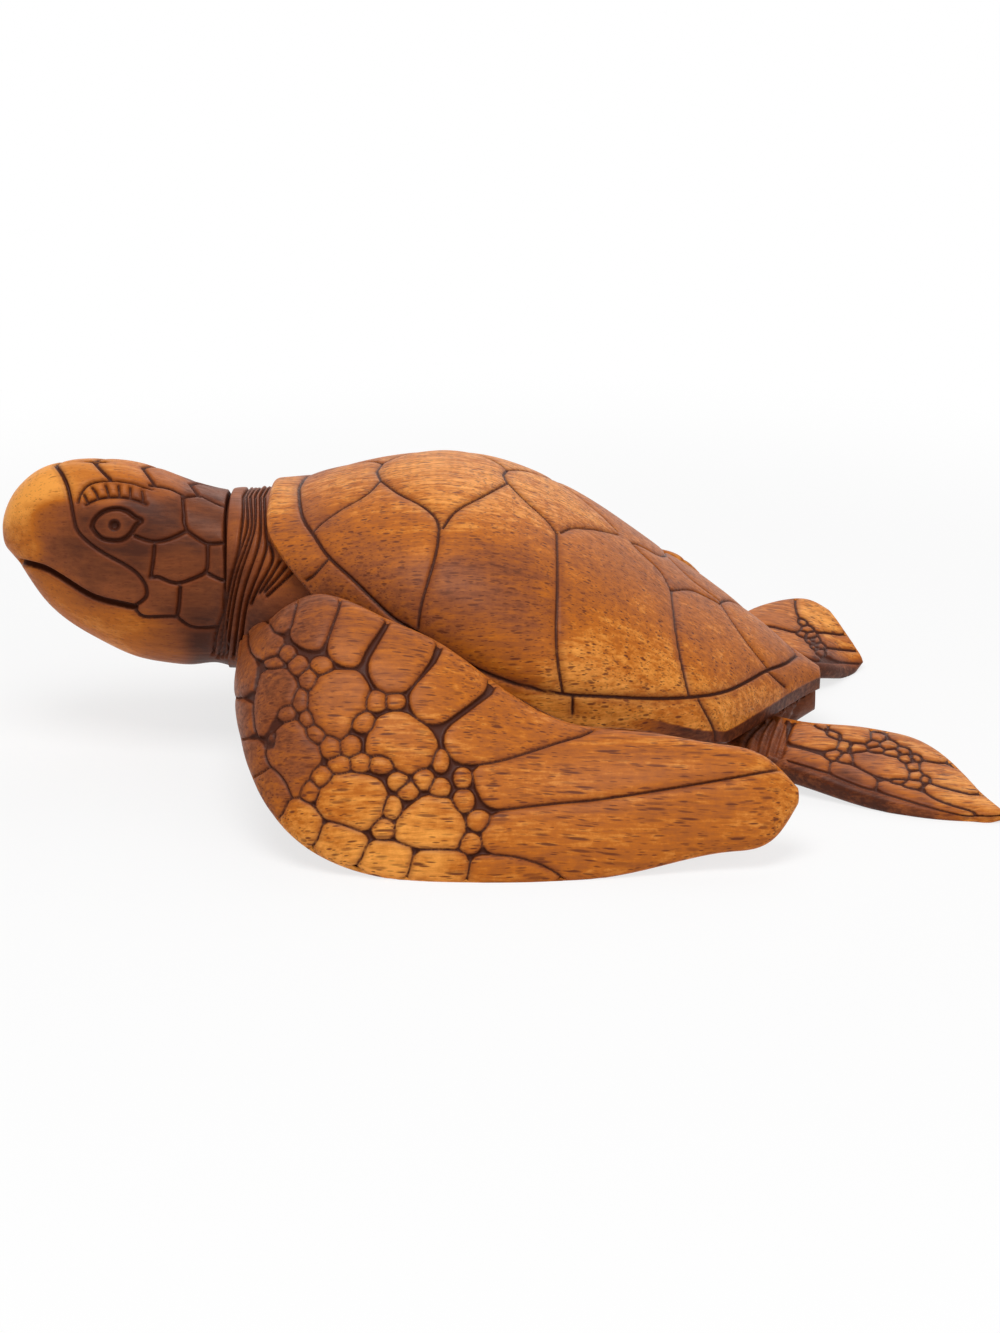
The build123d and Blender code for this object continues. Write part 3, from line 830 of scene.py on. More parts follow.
@dataclass
class Head:
    """Skull and beak in one block, with the mouth, the eyes and the plates carved in it."""

    length: float = 89 * MM
    top: float = 111.5 * MM
    tip_share: float = 0.753
    roundness: float = 2.3
    rows: int = 190
    columns: int = 400
    plate_gouge: Gouge = Gouge(half_width=1.2, depth=1.4, round_over=0.5, round_reach=2.0, stain_and_shade=0.6)
    lid_gouge: Gouge = Gouge(half_width=1.1, depth=1.6, round_over=0.4, round_reach=1.2)
    mouth_gouge: Gouge = Gouge(half_width=2.1, depth=3.0, round_over=0.5, round_reach=2.5, stain_and_shade=1.3)
    eye_gouge: Gouge = Gouge(half_width=1.2, depth=2.0, round_over=0.0, round_reach=2.0, stain_and_shade=0.9)

    # Share of the length from the glued face, share of the neck's half width, shares of the top's height
    sections = (
        (0.067, 0.912, 0.278, 0.892), (0.157, 0.882, 0.269, 0.915), (0.27, 0.882, 0.274, 0.951),
        (0.416, 0.838, 0.296, 0.987), (0.562, 0.765, 0.35, 1.0), (0.697, 0.647, 0.413, 0.996),
        (0.809, 0.529, 0.493, 0.973), (0.899, 0.412, 0.601, 0.924), (0.955, 0.294, 0.664, 0.87),
        (0.989, 0.147, 0.7, 0.807),
    )

    # Lines between the plates, behind the beak, of the mouth, round the eye and of the brow, in pixels
    plate_lines = (
        ((183, 496), (184, 512), (184, 522), (187, 530)),
        ((187, 530), (200, 540), (208, 544), (231, 541), (240, 539)), ((230, 510), (231, 525), (232, 541)),
        ((154, 546), (153, 560), (150, 578)), ((187, 530), (170, 539), (155, 542), (145, 540), (135, 536)),
        ((207, 545), (207, 560), (206, 573), (193, 579), (180, 584), (170, 583), (158, 577), (150, 578)),
        ((180, 588), (179, 605), (177, 617)), ((133, 608), (140, 617), (150, 618), (170, 617), (177, 618)),
        ((177, 618), (187, 626), (195, 629), (215, 628)), ((206, 573), (215, 578), (225, 582)),
        ((183, 496), (200, 494), (208, 498), (222, 505), (232, 507), (242, 507)),
        ((95, 462), (102, 470), (110, 478)), ((143, 467), (149, 475), (155, 484)), ((188, 480), (199, 495)),
        ((70, 458), (97, 462), (112, 460)), ((143, 467), (158, 466), (175, 472), (190, 479)),
        ((150, 484), (170, 487), (183, 494)),
    )
    beak_line = (
        (50, 458), (60, 470), (66, 483), (69, 497), (72, 515), (75, 530), (85, 541), (100, 552), (115, 560),
        (128, 567), (138, 575), (145, 585), (147, 595), (143, 601), (133, 607),
    )
    mouth_line = (
        (14, 561), (30, 565), (45, 569), (60, 578), (75, 588), (90, 597), (105, 602), (120, 605),
        (134, 608),
    )
    brow_line = (
        (77, 502), (79, 493), (87, 483), (100, 479.5), (119, 479.5), (133, 482), (143, 485.5), (152, 488),
    )
    lid_line = ((85, 504), (95, 498.5), (107, 496), (124, 496), (136, 499), (146, 503))
    lash_lines = (
        ((83, 494), (87, 503)), ((91, 486), (95, 491), (97, 497)), ((105, 484), (107, 490), (108, 495)),
        ((118, 484), (119, 495)), ((130, 486), (130, 496)), ((142, 489), (143, 500)),
    )
    eye_line = (
        (91, 527), (94, 518), (104, 510), (117, 507.5), (128, 511), (135, 517.5), (143, 520), (136, 524),
        (131, 533), (123, 540), (111, 541), (99, 538), (91, 527),
    )
    pupil = (114, 525)
    pupil_pixels: float = 4.5
    pupil_depth: float = 2.0 * MM

    # How dark the wood is painted, partly its own tone and partly painted shade on the head's sides and
    # painted highlights on the beak: column, row and reach in pixels, and the tone
    spots = (
        (25, 485, 25, 0.0), (25, 545, 15, 0.3), (50, 520, 15, 0.7), (60, 550, 15, 0.8), (90, 550, 25, 0.9),
        (110, 580, 25, 0.9), (140, 590, 15, 0.9), (150, 525, 25, 1.0), (205, 530, 30, 0.9),
        (175, 570, 20, 0.8), (190, 605, 25, 0.9), (215, 640, 25, 1.0), (95, 465, 20, 0.2),
        (130, 472, 15, 0.3), (110, 490, 10, 0.4), (160, 482, 15, 0.5), (55, 595, 20, 0.4),
        (115, 630, 30, 0.3), (165, 645, 20, 0.5), (115, 525, 10, 0.7),
    )

    def skin(self) -> Skin:
        """Upright rounded ovals from the glued face to the beak's tip: y = a w, z = middle + b half height.

        Width, bottom and top follow cubics over the distance travelled through the sections.

        Returns:
            The head's skin.
        """
        body = Body()
        face = -body.stump
        table = np.array(self.sections)
        x = face - table[:, 0] * self.length
        first = (face, body.neck_half_width, body.neck_bottom, body.neck_top)
        rest = np.stack([x, table[:, 1] * body.neck_half_width, table[:, 2] * self.top,
                         table[:, 3] * self.top], axis=-1)
        tip = (face - self.length, 0.0, self.tip_share * self.top, self.tip_share * self.top)
        stations = np.vstack([first, rest, tip])
        travelled = np.concatenate([[0], np.cumsum(np.linalg.norm(np.diff(stations, axis=0), axis=1))])
        wanted = np.linspace(0, travelled[-1], self.rows + 1)[:-1]
        x, width, bottom, top = smooth_through(travelled, stations, wanted).T[:, :, None]
        path = oval_path(self.roundness, 1.1, self.columns // 2, self.columns // 2)
        y = path[:, 0] * width
        z = (top + bottom) / 2 + path[:, 1] * (top - bottom) / 2
        rings = np.stack([np.broadcast_to(front_x + x, y.shape), y, z], axis=-1)
        last = np.array([front_x + face - self.length, 0, self.tip_share * self.top])
        return Skin(rings, rings[0].mean(axis=0), last)

    def build(self, view: PhotoView) -> bpy.types.Object:
        """Carves the head.

        Args:
            view: the photograph's camera.

        Returns:
            The carved head.
        """
        skin = self.skin()
        carver = Carver(view, skin)
        body = Body()
        plates = carver.from_lines([*self.plate_lines, self.beak_line, body.neck_seam])
        folds = carver.from_lines(body.neck_folds)
        mouth = carver.from_lines([self.mouth_line])
        lids = carver.from_lines([self.brow_line, self.lid_line, *self.lash_lines])
        eye = carver.from_lines([self.eye_line])
        pupil = np.hypot(*(carver.pixels - self.pupil).T).reshape(carver.shape) - self.pupil_pixels
        pupil_depth = self.pupil_depth * (1 - smoothstep(-1.5, 1.0, pupil))
        cuts = [
            self.plate_gouge.mark(plates),
            body.fold_gouge.mark(folds),
            self.mouth_gouge.mark(mouth),
            self.lid_gouge.mark(lids),
            self.eye_gouge.mark(eye),
            # The pupil's hole takes the groove's stain, which is painted shade there.
            (pupil_depth, pupil * 0.4 - 0.6),
        ]
        return Carving.of(carver, cuts, self.spots).apply(skin, "carved_head")


@dataclass
class Flipper:
    """One flipper, from its flat root in the body to its tip, standing on a flat sanded under it."""

    ribs: Sequence[tuple[tuple, tuple, float]]
    side: Side
    root_x: float
    root_half_width: float
    sweep: float
    span: float
    rise: float
    thickness: float
    roundness: float
    camber_share: float
    rows: int
    top_steps: int
    bottom_steps: int
    tip_shortening: float = 0.0
    shortening_start: float = 0.476
    cap_bulge: float = 0.3 * MM

    def edge(self, shares: Array) -> Array:
        """Places on an edge: x along the sweep, drawn in near the tip, y out from the root, z up.

        Args:
            shares: rows of shares of the sweep, the span and the rise.

        Returns:
            Rows of (x, y, z).
        """
        late = np.maximum(shares[:, 0] - self.shortening_start, 0) / (1 - self.shortening_start)
        x = front_x + self.root_x + shares[:, 0] * self.sweep - self.tip_shortening * late
        y = self.side.value * (self.root_half_width + shares[:, 1] * self.span)
        return np.stack([x, y, shares[:, 2] * self.rise], axis=-1)

    def skin(self) -> Skin:
        """Rounded ovals across the ribs: middle + a c across + (b t + camber (1 - a^2)) up.

        Here c is half the chord and t half the thickness, and (a, b) runs round the oval.
        Each point of the oval follows a cubic through the ribs, over the distance along their middles.

        Returns:
            The flipper's skin, with nothing of it under the table.
        """
        leading = self.edge(np.array([rib[0] for rib in self.ribs]))
        trailing = self.edge(np.array([rib[1] for rib in self.ribs]))
        half_thickness = np.array([rib[2] for rib in self.ribs])[:, None] * self.thickness / 2
        middle = (leading + trailing) / 2
        ahead = np.vstack([middle[1:], middle[-1:]])
        behind = np.vstack([middle[:1], middle[:-1]])
        along = unit(ahead - behind)
        along[0] = (0, self.side.value, 0)
        across = unit(trailing - leading)
        up = unit(np.cross(across, along)) * self.side.value
        chord = np.linalg.norm(trailing - leading, axis=1, keepdims=True)
        camber = self.camber_share * chord
        camber[0] = 0
        a, b = oval_path(self.roundness, 0.25, self.top_steps, self.bottom_steps).T
        reach = (a * chord / 2)[..., None]
        lift = (b * half_thickness + camber * (1 - a * a))[..., None]
        rings = middle[:, None] + across[:, None] * reach + up[:, None] * lift
        travelled = np.concatenate([[0], np.cumsum(np.linalg.norm(np.diff(middle, axis=0), axis=1))])
        rings = smooth_through(travelled, rings, np.linspace(0, travelled[-1], self.rows))
        turn = np.linspace(0, math.pi / 2, 5)[1:-1, None, None]
        end = rings[-1].mean(axis=0)
        cap = end + (rings[-1] - end) * np.cos(turn) + along[-1] * self.cap_bulge * np.sin(turn)
        rings = np.concatenate([rings, cap])
        rings[..., 2] = np.maximum(rings[..., 2], 0)
        return Skin(rings, rings[0].mean(axis=0), end + along[-1] * self.cap_bulge)


@dataclass
class FrontFlippers:
    """Both front flippers. The right one is carved as the left one is, place for place."""

    gouge: Gouge = Gouge(half_width=0.7, depth=1.5, round_over=0.6, round_reach=1.6)

    # Ribs: the leading and the trailing edge as shares of sweep, span and rise, then a share of the thickness
    ribs = (
        ((0.0, 0.0, 0.505), (0.188, 0.0, 0.758), 1.0), ((0.005, 0.197, 0.48), (0.188, 0.148, 0.77), 0.93),
        ((0.019, 0.426, 0.455), (0.159, 0.279, 0.972), 0.71),
        ((0.043, 0.705, 0.328), (0.216, 0.385, 1.01), 0.54),
        ((0.106, 0.869, 0.164), (0.279, 0.434, 0.953), 0.46),
        ((0.216, 0.959, 0.036), (0.361, 0.484, 0.878), 0.43),
        ((0.37, 1.0, -0.01), (0.457, 0.541, 0.72), 0.39),
        ((0.548, 1.0, -0.01), (0.591, 0.607, 0.543), 0.36),
        ((0.716, 0.959, 0.025), (0.736, 0.656, 0.518), 0.32),
        ((0.87, 0.91, 0.088), (0.861, 0.689, 0.48), 0.29),
        ((0.963, 0.855, 0.152), (0.957, 0.722, 0.4), 0.23),
        ((0.994, 0.793, 0.245), (0.994, 0.762, 0.312), 0.13),
    )

    # Raised scales along the upper edge, run over the edge where they reach it, in pixels
    upper_scales = (
        ((271, 596), (296, 580), (294, 602), (287, 630), (268, 630)),
        ((303, 580), (340, 575), (338, 600), (330, 622), (322, 644), (316, 648), (303, 646), (290, 637),
         (291, 627)),
        ((344, 600), (346, 575), (390, 578), (396, 600), (386, 616), (377, 630), (365, 646), (358, 663),
         (350, 665), (339, 662), (330, 655), (328, 645), (333, 630)),
        ((391, 624), (403, 602), (440, 606), (445, 622), (434, 645), (431, 656), (420, 672), (408, 687),
         (398, 691), (386, 691), (376, 684), (370, 672), (370, 660), (379, 645)),
        ((441, 659), (452, 628), (490, 636), (500, 655), (488, 676), (486, 687), (478, 695), (460, 708),
         (445, 719), (436, 722), (424, 720), (414, 711), (410, 697), (415, 687), (429, 672)),
        ((497, 692), (507, 664), (555, 680), (591, 706), (592, 727), (586, 731), (570, 736), (540, 746),
         (500, 758), (475, 762), (459, 761), (449, 751), (445, 738), (450, 727), (465, 716), (486, 700)),
    )

    # The two long rows that run out to the tip, in pixels
    finger_scales = (
        ((474, 767), (500, 763), (530, 753), (560, 742), (588, 735), (602, 722), (650, 715), (760, 715),
         (812, 760), (786, 765), (700, 781), (600, 797), (550, 801), (500, 807), (490, 805), (482, 797),
         (477, 785)),
        ((494, 813), (520, 809), (560, 804), (600, 801), (700, 785), (786, 769), (815, 766), (815, 830),
         (700, 900), (590, 905), (564, 876), (548, 866), (530, 858), (510, 854), (490, 852), (483, 842),
         (484, 828)),
    )

    # The row along the lower edge, in pixels
    lower_scales = (
        ((250, 782), (262, 771), (272, 768), (284, 778), (291, 795), (284, 802), (279, 816), (262, 822),
         (248, 800)),
        ((289, 800), (299, 799), (312, 808), (320, 816), (320, 823), (315, 842), (300, 850), (276, 824),
         (284, 812)),
        ((325, 823), (340, 824), (355, 830), (367, 838), (364, 846), (359, 862), (340, 870), (312, 852),
         (319, 838)),
        ((369, 845), (376, 841), (390, 842), (409, 847), (411, 854), (407, 876), (390, 882), (357, 870),
         (362, 858)),
        ((417, 853), (430, 850), (452, 851), (468, 856), (466, 882), (445, 892), (408, 884), (411, 868)),
        ((474, 858), (485, 856), (510, 857), (530, 862), (550, 870), (561, 880), (540, 896), (500, 898),
         (468, 890), (470, 872)),
    )

    # The large round ones in the middle, in pixels
    round_scales = (
        ((262, 670), (283, 667), (293, 678), (296, 690), (291, 702), (280, 707), (271, 717), (263, 734),
         (256, 734), (253, 705), (257, 685)),
        ((318, 678), (330, 670), (350, 670), (358, 671), (366, 682), (369, 690), (366, 706), (358, 715),
         (351, 722), (347, 730), (341, 739), (330, 735), (318, 726), (310, 713), (308, 700), (311, 688)),
        ((282, 725), (290, 721), (297, 721), (306, 731), (314, 741), (319, 752), (319, 762), (312, 769),
         (307, 776), (303, 787), (297, 796), (290, 796), (282, 780), (271, 766), (266, 757), (267, 745),
         (272, 735)),
        ((379, 717), (390, 712), (405, 712), (418, 721), (430, 729), (437, 742), (436, 752), (430, 763),
         (419, 768), (408, 773), (397, 767), (389, 757), (380, 753), (367, 753), (367, 740), (372, 727)),
        ((330, 777), (345, 773), (365, 775), (379, 780), (385, 790), (387, 800), (381, 812), (377, 821),
         (368, 828), (360, 829), (345, 825), (325, 818), (316, 808), (318, 797), (323, 785)),
        ((415, 803), (425, 796), (440, 796), (452, 801), (459, 812), (464, 822), (464, 835), (458, 847),
         (445, 848), (425, 848), (405, 843), (396, 838), (395, 828), (401, 815)),
    )

    # Those of the shoulder, run past the outline on the left, in pixels
    shoulder_scales = (
        ((200, 500), (350, 500), (350, 575), (345, 588), (300, 588), (262, 594), (262, 604), (254, 616),
         (215, 620)),
        ((248, 628), (256, 622), (264, 620), (274, 634), (282, 638), (278, 648), (270, 655), (257, 658),
         (248, 648)),
        ((215, 624), (245, 630), (245, 650), (254, 662), (253, 674), (249, 694), (215, 698)),
        ((215, 702), (249, 699), (249, 720), (252, 736), (215, 742)),
        ((215, 746), (254, 739), (262, 746), (262, 758), (268, 768), (246, 778), (215, 774)),
    )

    # Pebbles between the scales: column, row, half width and half height, in pixels
    pebbles = (
        (297, 664, 7.5, 7.5), (321, 664, 8.5, 6.5), (307, 678, 6.5, 8), (299, 699, 6, 9), (376, 700, 9, 8),
        (395, 700, 8, 6), (363, 721, 9, 8), (330, 746, 8, 9), (314, 734, 8, 7), (350, 745, 8, 8),
        (339, 764, 9, 6.5), (360, 762, 8, 7), (381, 764, 9.5, 6.5), (321, 776, 8, 8), (308, 791, 7, 8),
        (398, 781, 8, 7), (408, 790, 8, 7), (424, 779, 8, 8), (441, 760, 6, 9), (440, 787, 8, 7.5),
        (463, 777, 6.5, 8), (464, 800, 8, 9), (479, 820, 9, 8), (470, 843, 8.5, 8), (392, 807, 7, 9),
        (383, 829, 9, 8), (286, 652, 6, 6), (272, 662, 7, 4), (285, 712, 7, 6), (272, 742, 4, 7),
        (306, 718, 5, 6),
    )

    # How dark the wood is painted, partly its own tone and partly painted shade and painted highlights:
    # column, row and reach in pixels, and the tone
    spots = (
        (265, 640, 20, 0.7), (310, 620, 25, 0.7), (380, 645, 40, 0.5), (280, 720, 35, 0.7),
        (340, 700, 25, 0.4), (450, 690, 35, 0.4), (410, 770, 50, 0.3), (350, 805, 30, 0.3),
        (265, 790, 20, 0.6), (310, 835, 25, 0.2), (400, 865, 50, 0.1), (530, 780, 60, 0.4),
        (560, 835, 60, 0.4), (680, 750, 60, 0.4), (700, 835, 50, 0.4), (770, 790, 30, 0.3),
    )

    def flipper(self, side: Side) -> Flipper:
        """The flipper of one side."""
        return Flipper(
            ribs=self.ribs, side=side, root_x=-9 * MM, root_half_width=36 * MM, sweep=208 * MM, span=122 * MM,
            rise=Shell.seam_front_height, thickness=28 * MM, roundness=2.6, camber_share=0.07,
            rows=400, top_steps=180, bottom_steps=56, tip_shortening=22 * MM if side is Side.RIGHT else 0.0,
        )

    def build(self, view: PhotoView) -> list[bpy.types.Object]:
        """Measures the left flipper and carves both.

        Args:
            view: the photograph's camera.

        Returns:
            Both carved flippers, left first.
        """
        skin = self.flipper(Side.LEFT).skin()
        carver = Carver(view, skin)
        outlines = [*self.upper_scales, *self.finger_scales, *self.lower_scales, *self.round_scales,
                    *self.shoulder_scales, *(pebble_outline(*pebble) for pebble in self.pebbles)]
        outside = carver.from_scales(outlines)
        folds = carver.from_lines(Body.neck_folds)
        cuts = [(self.gouge.lower(outside), floor_distance(outside)), (Body.fold_gouge.cut(folds), folds)]
        carving = Carving.of(carver, cuts, self.spots)
        return [carving.apply(self.flipper(side).skin(), f"carved_front_flipper_{side.name.lower()}")
                for side in Side]


def pebble_outline(column: float, row: float, half_width: float, half_height: float) -> Places:
    """Eight places round a pebble: its box, a little enlarged, with the corners cut off.

    Args:
        column: the column of its middle, in pixels.
        row: the row of its middle.
        half_width: half its width, in pixels.
        half_height: half its height.

    Returns:
        The pebble's outline.
    """
    across = np.array([1, 0.45, -0.45, -1, -1, -0.45, 0.45, 1]) * half_width * PEBBLE_GROWTH
    down = np.array([0.45, 1, 1, 0.45, -0.45, -1, -1, -0.45]) * half_height * PEBBLE_GROWTH
    return list(zip(column + across, row + down))


def floor_distance(outside: Array) -> Array:
    """Distance from the floor between scales, which is stained and painted with shade: less than 0 on the
    floor, and growing into a scale.
    """
    return FLOOR_STAIN_AND_SHADE - outside


@dataclass
class RearFlippers:
    """Both rear flippers. The right one is tilted the other way, and has scales of its own."""

    gouge: Gouge = Gouge(half_width=0.8, depth=1.0, round_over=0.4, round_reach=1.4)
    hip_column: float = 786.0  # the hip's folds lie to the left of it, and no scales

    # Ribs: the leading and the trailing edge as shares of sweep, span and rise, then a share of the thickness
    left_ribs = (
        ((0.0, 0.0, 0.486), (0.273, 0.0, 0.6), 1.0), ((0.073, 0.21, 0.48), (0.345, 0.08, 0.64), 1.0),
        ((0.2, 0.487, 0.44), (0.418, 0.158, 0.72), 0.98),
        ((0.327, 0.632, 0.38), (0.473, 0.171, 0.74), 0.95),
        ((0.482, 0.763, 0.22), (0.555, 0.158, 0.7), 0.9), ((0.655, 0.895, 0.12), (0.664, 0.158, 0.6), 0.82),
        ((0.8, 0.961, 0.09), (0.773, 0.211, 0.48), 0.7), ((0.9, 0.987, 0.08), (0.873, 0.447, 0.33), 0.55),
        ((0.955, 1.0, 0.09), (0.936, 0.737, 0.22), 0.42), ((0.997, 0.992, 0.13), (0.99, 0.93, 0.15), 0.25),
    )
    right_ribs = (
        ((0.0, 0.0, 0.54), (0.273, 0.0, 0.56), 1.0), ((0.055, 0.21, 0.62), (0.327, 0.08, 0.54), 1.0),
        ((0.136, 0.553, 0.82), (0.418, 0.21, 0.486), 0.95),
        ((0.218, 0.789, 1.03), (0.509, 0.316, 0.36), 0.85),
        ((0.318, 0.947, 1.08), (0.564, 0.408, 0.2), 0.78), ((0.406, 1.04, 1.08), (0.6, 0.487, 0.07), 0.7),
        ((0.5, 1.06, 1.03), (0.645, 0.579, 0.03), 0.5), ((0.56, 1.02, 0.9), (0.677, 0.65, 0.16), 0.28),
    )

    # The left one's scales and pebbles, run past its outline where they reach it, in pixels
    scales = (
        ((788, 740), (791, 729), (799, 722), (808, 722), (818, 728), (830, 735), (839, 742), (833, 747),
         (822, 748), (805, 744)),
        ((824, 717), (830, 712), (842, 712), (853, 714), (861, 718), (867, 726), (871, 738), (868, 742),
         (855, 742), (843, 737), (833, 729)),
        ((852, 752), (870, 751), (886, 754), (898, 758), (906, 764), (909, 773), (905, 778), (893, 777),
         (880, 774), (866, 769), (856, 762)),
        ((885, 721), (888, 705), (930, 710), (960, 752), (944, 760), (937, 761), (925, 757), (912, 751),
         (900, 743), (890, 735)),
        ((920, 762), (935, 762), (946, 764), (985, 785), (974, 793), (955, 789), (940, 785), (930, 778),
         (922, 770)),
        ((925, 784), (940, 786), (955, 790), (973, 795), (1010, 800), (1010, 814), (985, 814), (960, 808),
         (940, 801), (930, 794)),
        ((770, 744), (783, 746), (800, 749), (828, 758), (829, 766), (826, 770), (805, 764), (770, 754)),
        ((832, 760), (850, 765), (875, 777), (874, 786), (868, 787), (845, 779), (831, 772)),
        ((880, 780), (900, 784), (922, 793), (950, 803), (975, 810), (970, 816), (940, 808), (905, 797),
         (879, 789)),
        ((760, 754), (800, 765), (830, 775), (870, 791), (905, 801), (940, 812), (965, 819), (990, 818),
         (1010, 815), (1010, 850), (760, 850)),
        ((809, 707), (816, 696), (824, 700), (821, 711), (814, 713)),
        ((826, 708), (830, 696), (850, 700), (858, 712), (845, 711)),
        ((862, 717), (866, 706), (884, 712), (878, 728), (872, 723)),
    )
    pebbles = (
        (811, 717, 7, 3), (822, 723, 5, 2.5), (835, 733, 6, 2.5), (846, 745, 6, 3.5), (857, 746, 8, 3.5),
        (873, 743, 5, 3), (878, 735, 5, 3.5), (881, 728, 5, 3), (877, 748, 6, 2.5), (889, 744, 7, 3),
        (893, 751, 7, 2.5), (904, 749, 6, 3), (907, 757, 6, 3), (915, 756, 5, 2.5), (913, 765, 5, 3),
        (916, 774, 5, 3), (926, 777, 4, 2), (834, 754, 6, 3), (845, 757, 6, 3), (912, 783, 7, 2.5),
        (899, 780, 5, 1.5),
    )

    # The right one's scales and pebbles, which are seen behind the shell, in pixels
    right_scales = (
        ((740, 588), (794, 588), (792, 600), (798, 618), (802, 626), (796, 631), (781, 626), (740, 622)),
        ((797, 610), (800, 588), (830, 598), (845, 620), (845, 633), (825, 631), (815, 627), (803, 617)),
        ((820, 632), (842, 635), (860, 640), (860, 649), (834, 647), (822, 641)),
        ((825, 649), (844, 650), (870, 654), (870, 662), (844, 660), (830, 655)),
        ((760, 626), (774, 626), (781, 629), (798, 633), (810, 642), (818, 653), (820, 660), (806, 655),
         (786, 642)),
        ((786, 648), (806, 659), (822, 664), (870, 665), (870, 690), (786, 690)),
    )
    right_pebbles = (
        (803, 621, 4, 2), (808, 628, 4, 2), (803, 633, 4, 2), (811, 634, 4, 2), (816, 639, 4, 2),
        (811, 640, 4, 2), (820, 645, 4, 2), (815, 646, 4, 2), (821, 651, 4, 2),
    )

    # How dark the wood is painted, partly its own tone and partly painted shade, darkest along the flippers'
    # shaded sides: column, row and reach in pixels, and the tone
    spots = (
        (840, 725, 30, 0.3), (870, 760, 12, 0.7), (900, 770, 25, 0.3), (950, 750, 30, 0.3),
        (960, 795, 20, 0.2), (805, 740, 20, 0.4), (800, 772, 12, 1), (840, 788, 15, 1), (880, 802, 15, 1),
        (920, 813, 12, 0.9), (950, 818, 8, 0.7), (775, 740, 15, 0.9),
    )
    right_spots = (
        (820, 615, 15, 0.1), (775, 620, 15, 0.4), (845, 648, 10, 0.3), (795, 640, 15, 0.4),
        (812, 640, 8, 0.6), (830, 668, 15, 1),
    )

    def flipper(self, side: Side) -> Flipper:
        """The flipper of one side."""
        return Flipper(
            ribs=self.left_ribs if side is Side.LEFT else self.right_ribs, side=side,
            root_x=(tail_x - front_x) - 49 * MM, root_half_width=26 * MM, sweep=110 * MM, span=76 * MM,
            rise=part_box("carapace")[0].z, thickness=13 * MM, roundness=3.2, camber_share=0.0,
            rows=220, top_steps=170, bottom_steps=70,
        )

    def build(self, view: PhotoView) -> list[bpy.types.Object]:
        """Measures and carves each flipper.

        Args:
            view: the photograph's camera.

        Returns:
            Both carved flippers, left first.
        """
        left = self.flipper(Side.LEFT).skin()
        carver = Carver(view, left)
        hips = carver.from_lines(Body.hip_folds)
        left_carving = self.carving(carver, self.scales, self.pebbles, self.spots, hips)
        right = self.flipper(Side.RIGHT).skin()
        carver = Carver(view, right, mirrored=False)
        no_hips = np.full(carver.shape, NO_LINE_NEAR)
        right_carving = self.carving(carver, self.right_scales, self.right_pebbles, self.right_spots, no_hips)
        return [left_carving.apply(left, "carved_rear_flipper_left"),
                right_carving.apply(right, "carved_rear_flipper_right")]

    def carving(
        self, carver: Carver, scales: Sequence[Places], pebbles: Pebbles, spots: Spots, hips: Array,
    ) -> Carving:
        """What is carved in one flipper.

        Args:
            carver: the carver that measured the flipper.
            scales: outlines of the raised scales.
            pebbles: middles and half sizes of the pebbles.
            spots: the spots that say how dark the wood is painted, painted shade and highlights included.
            hips: millimetres from the folds of the hip.

        Returns:
            The carving.
        """
        outside = carver.from_scales([*scales, *(pebble_outline(*pebble) for pebble in pebbles)])
        on_hip = (carver.pixels[:, 0].reshape(carver.shape) < self.hip_column) & (hips < NO_LINE_NEAR)
        outside = np.where(on_hip, -NO_GROOVE_NEAR, outside)
        cuts = [(self.gouge.lower(outside), floor_distance(outside)), Body.hip_gouge.mark(hips)]
        return Carving.of(carver, cuts, spots)


class Nodes:
    """A short way to write down a node tree."""

    def __init__(self, tree: bpy.types.NodeTree) -> None:
        """Writes into the given tree."""
        self.tree = tree

    def add(self, kind: str, inputs: dict | None = None, **settings: object) -> bpy.types.Node:
        """A new node with its settings, and its inputs set to values or linked to sockets.

        Args:
            kind: the node's type.
            inputs: a value or a socket for each input that is set.
            settings: the node's own settings.

        Returns:
            The node.
        """
        node = self.tree.nodes.new(kind)
        for key, value in settings.items():
            setattr(node, key, value)
        for key, value in (inputs or {}).items():
            if isinstance(value, bpy.types.NodeSocket):
                self.tree.links.new(value, node.inputs[key])
            else:
                node.inputs[key].default_value = value
        return node

    def math(
        self, operation: str, first: Value, second: Value = 0.5, third: Value = 0.0,
    ) -> bpy.types.NodeSocket:
        """One sum of two or three numbers or sockets."""
        return self.add("ShaderNodeMath", {0: first, 1: second, 2: third}, operation=operation).outputs[0]

    def ramp(self, value: Value, stops: Sequence[tuple[float, Colour]]) -> bpy.types.NodeSocket:
        """The colour that a value has between the stops.

        Args:
            value: the value.
            stops: rising positions and their colours.

        Returns:
            The colour's socket.
        """
        node = self.add("ShaderNodeValToRGB", {"Fac": value})
        elements = node.color_ramp.elements
        while len(elements) < len(stops):
            elements.new(0.5)
        for element, (position, colour) in zip(elements, stops):
            element.position = position
            element.color = colour
        return node.outputs["Color"]

    def span(
        self, value: Value, low: float, high: float, to_low: float = 0.0, to_high: float = 1.0,
    ) -> bpy.types.NodeSocket:
        """The value carried smoothly from one span to another, and held at its ends."""
        inputs = {"Value": value, "From Min": low, "From Max": high, "To Min": to_low, "To Max": to_high}
        return self.add("ShaderNodeMapRange", inputs, interpolation_type="SMOOTHSTEP").outputs["Result"]

    def mix(self, share: Value, first: Paint, second: Paint) -> bpy.types.NodeSocket:
        """A mix of two colours.

        Args:
            share: how much there is of the second.
            first: the colour at share 0.
            second: the colour at share 1.

        Returns:
            The colour's socket.
        """
        node = self.add("ShaderNodeMix", data_type="RGBA")
        for key, value in ((0, share), (6, first), (7, second)):
            if isinstance(value, bpy.types.NodeSocket):
                self.tree.links.new(value, node.inputs[key])
            else:
                node.inputs[key].default_value = value
        return node.outputs[2]


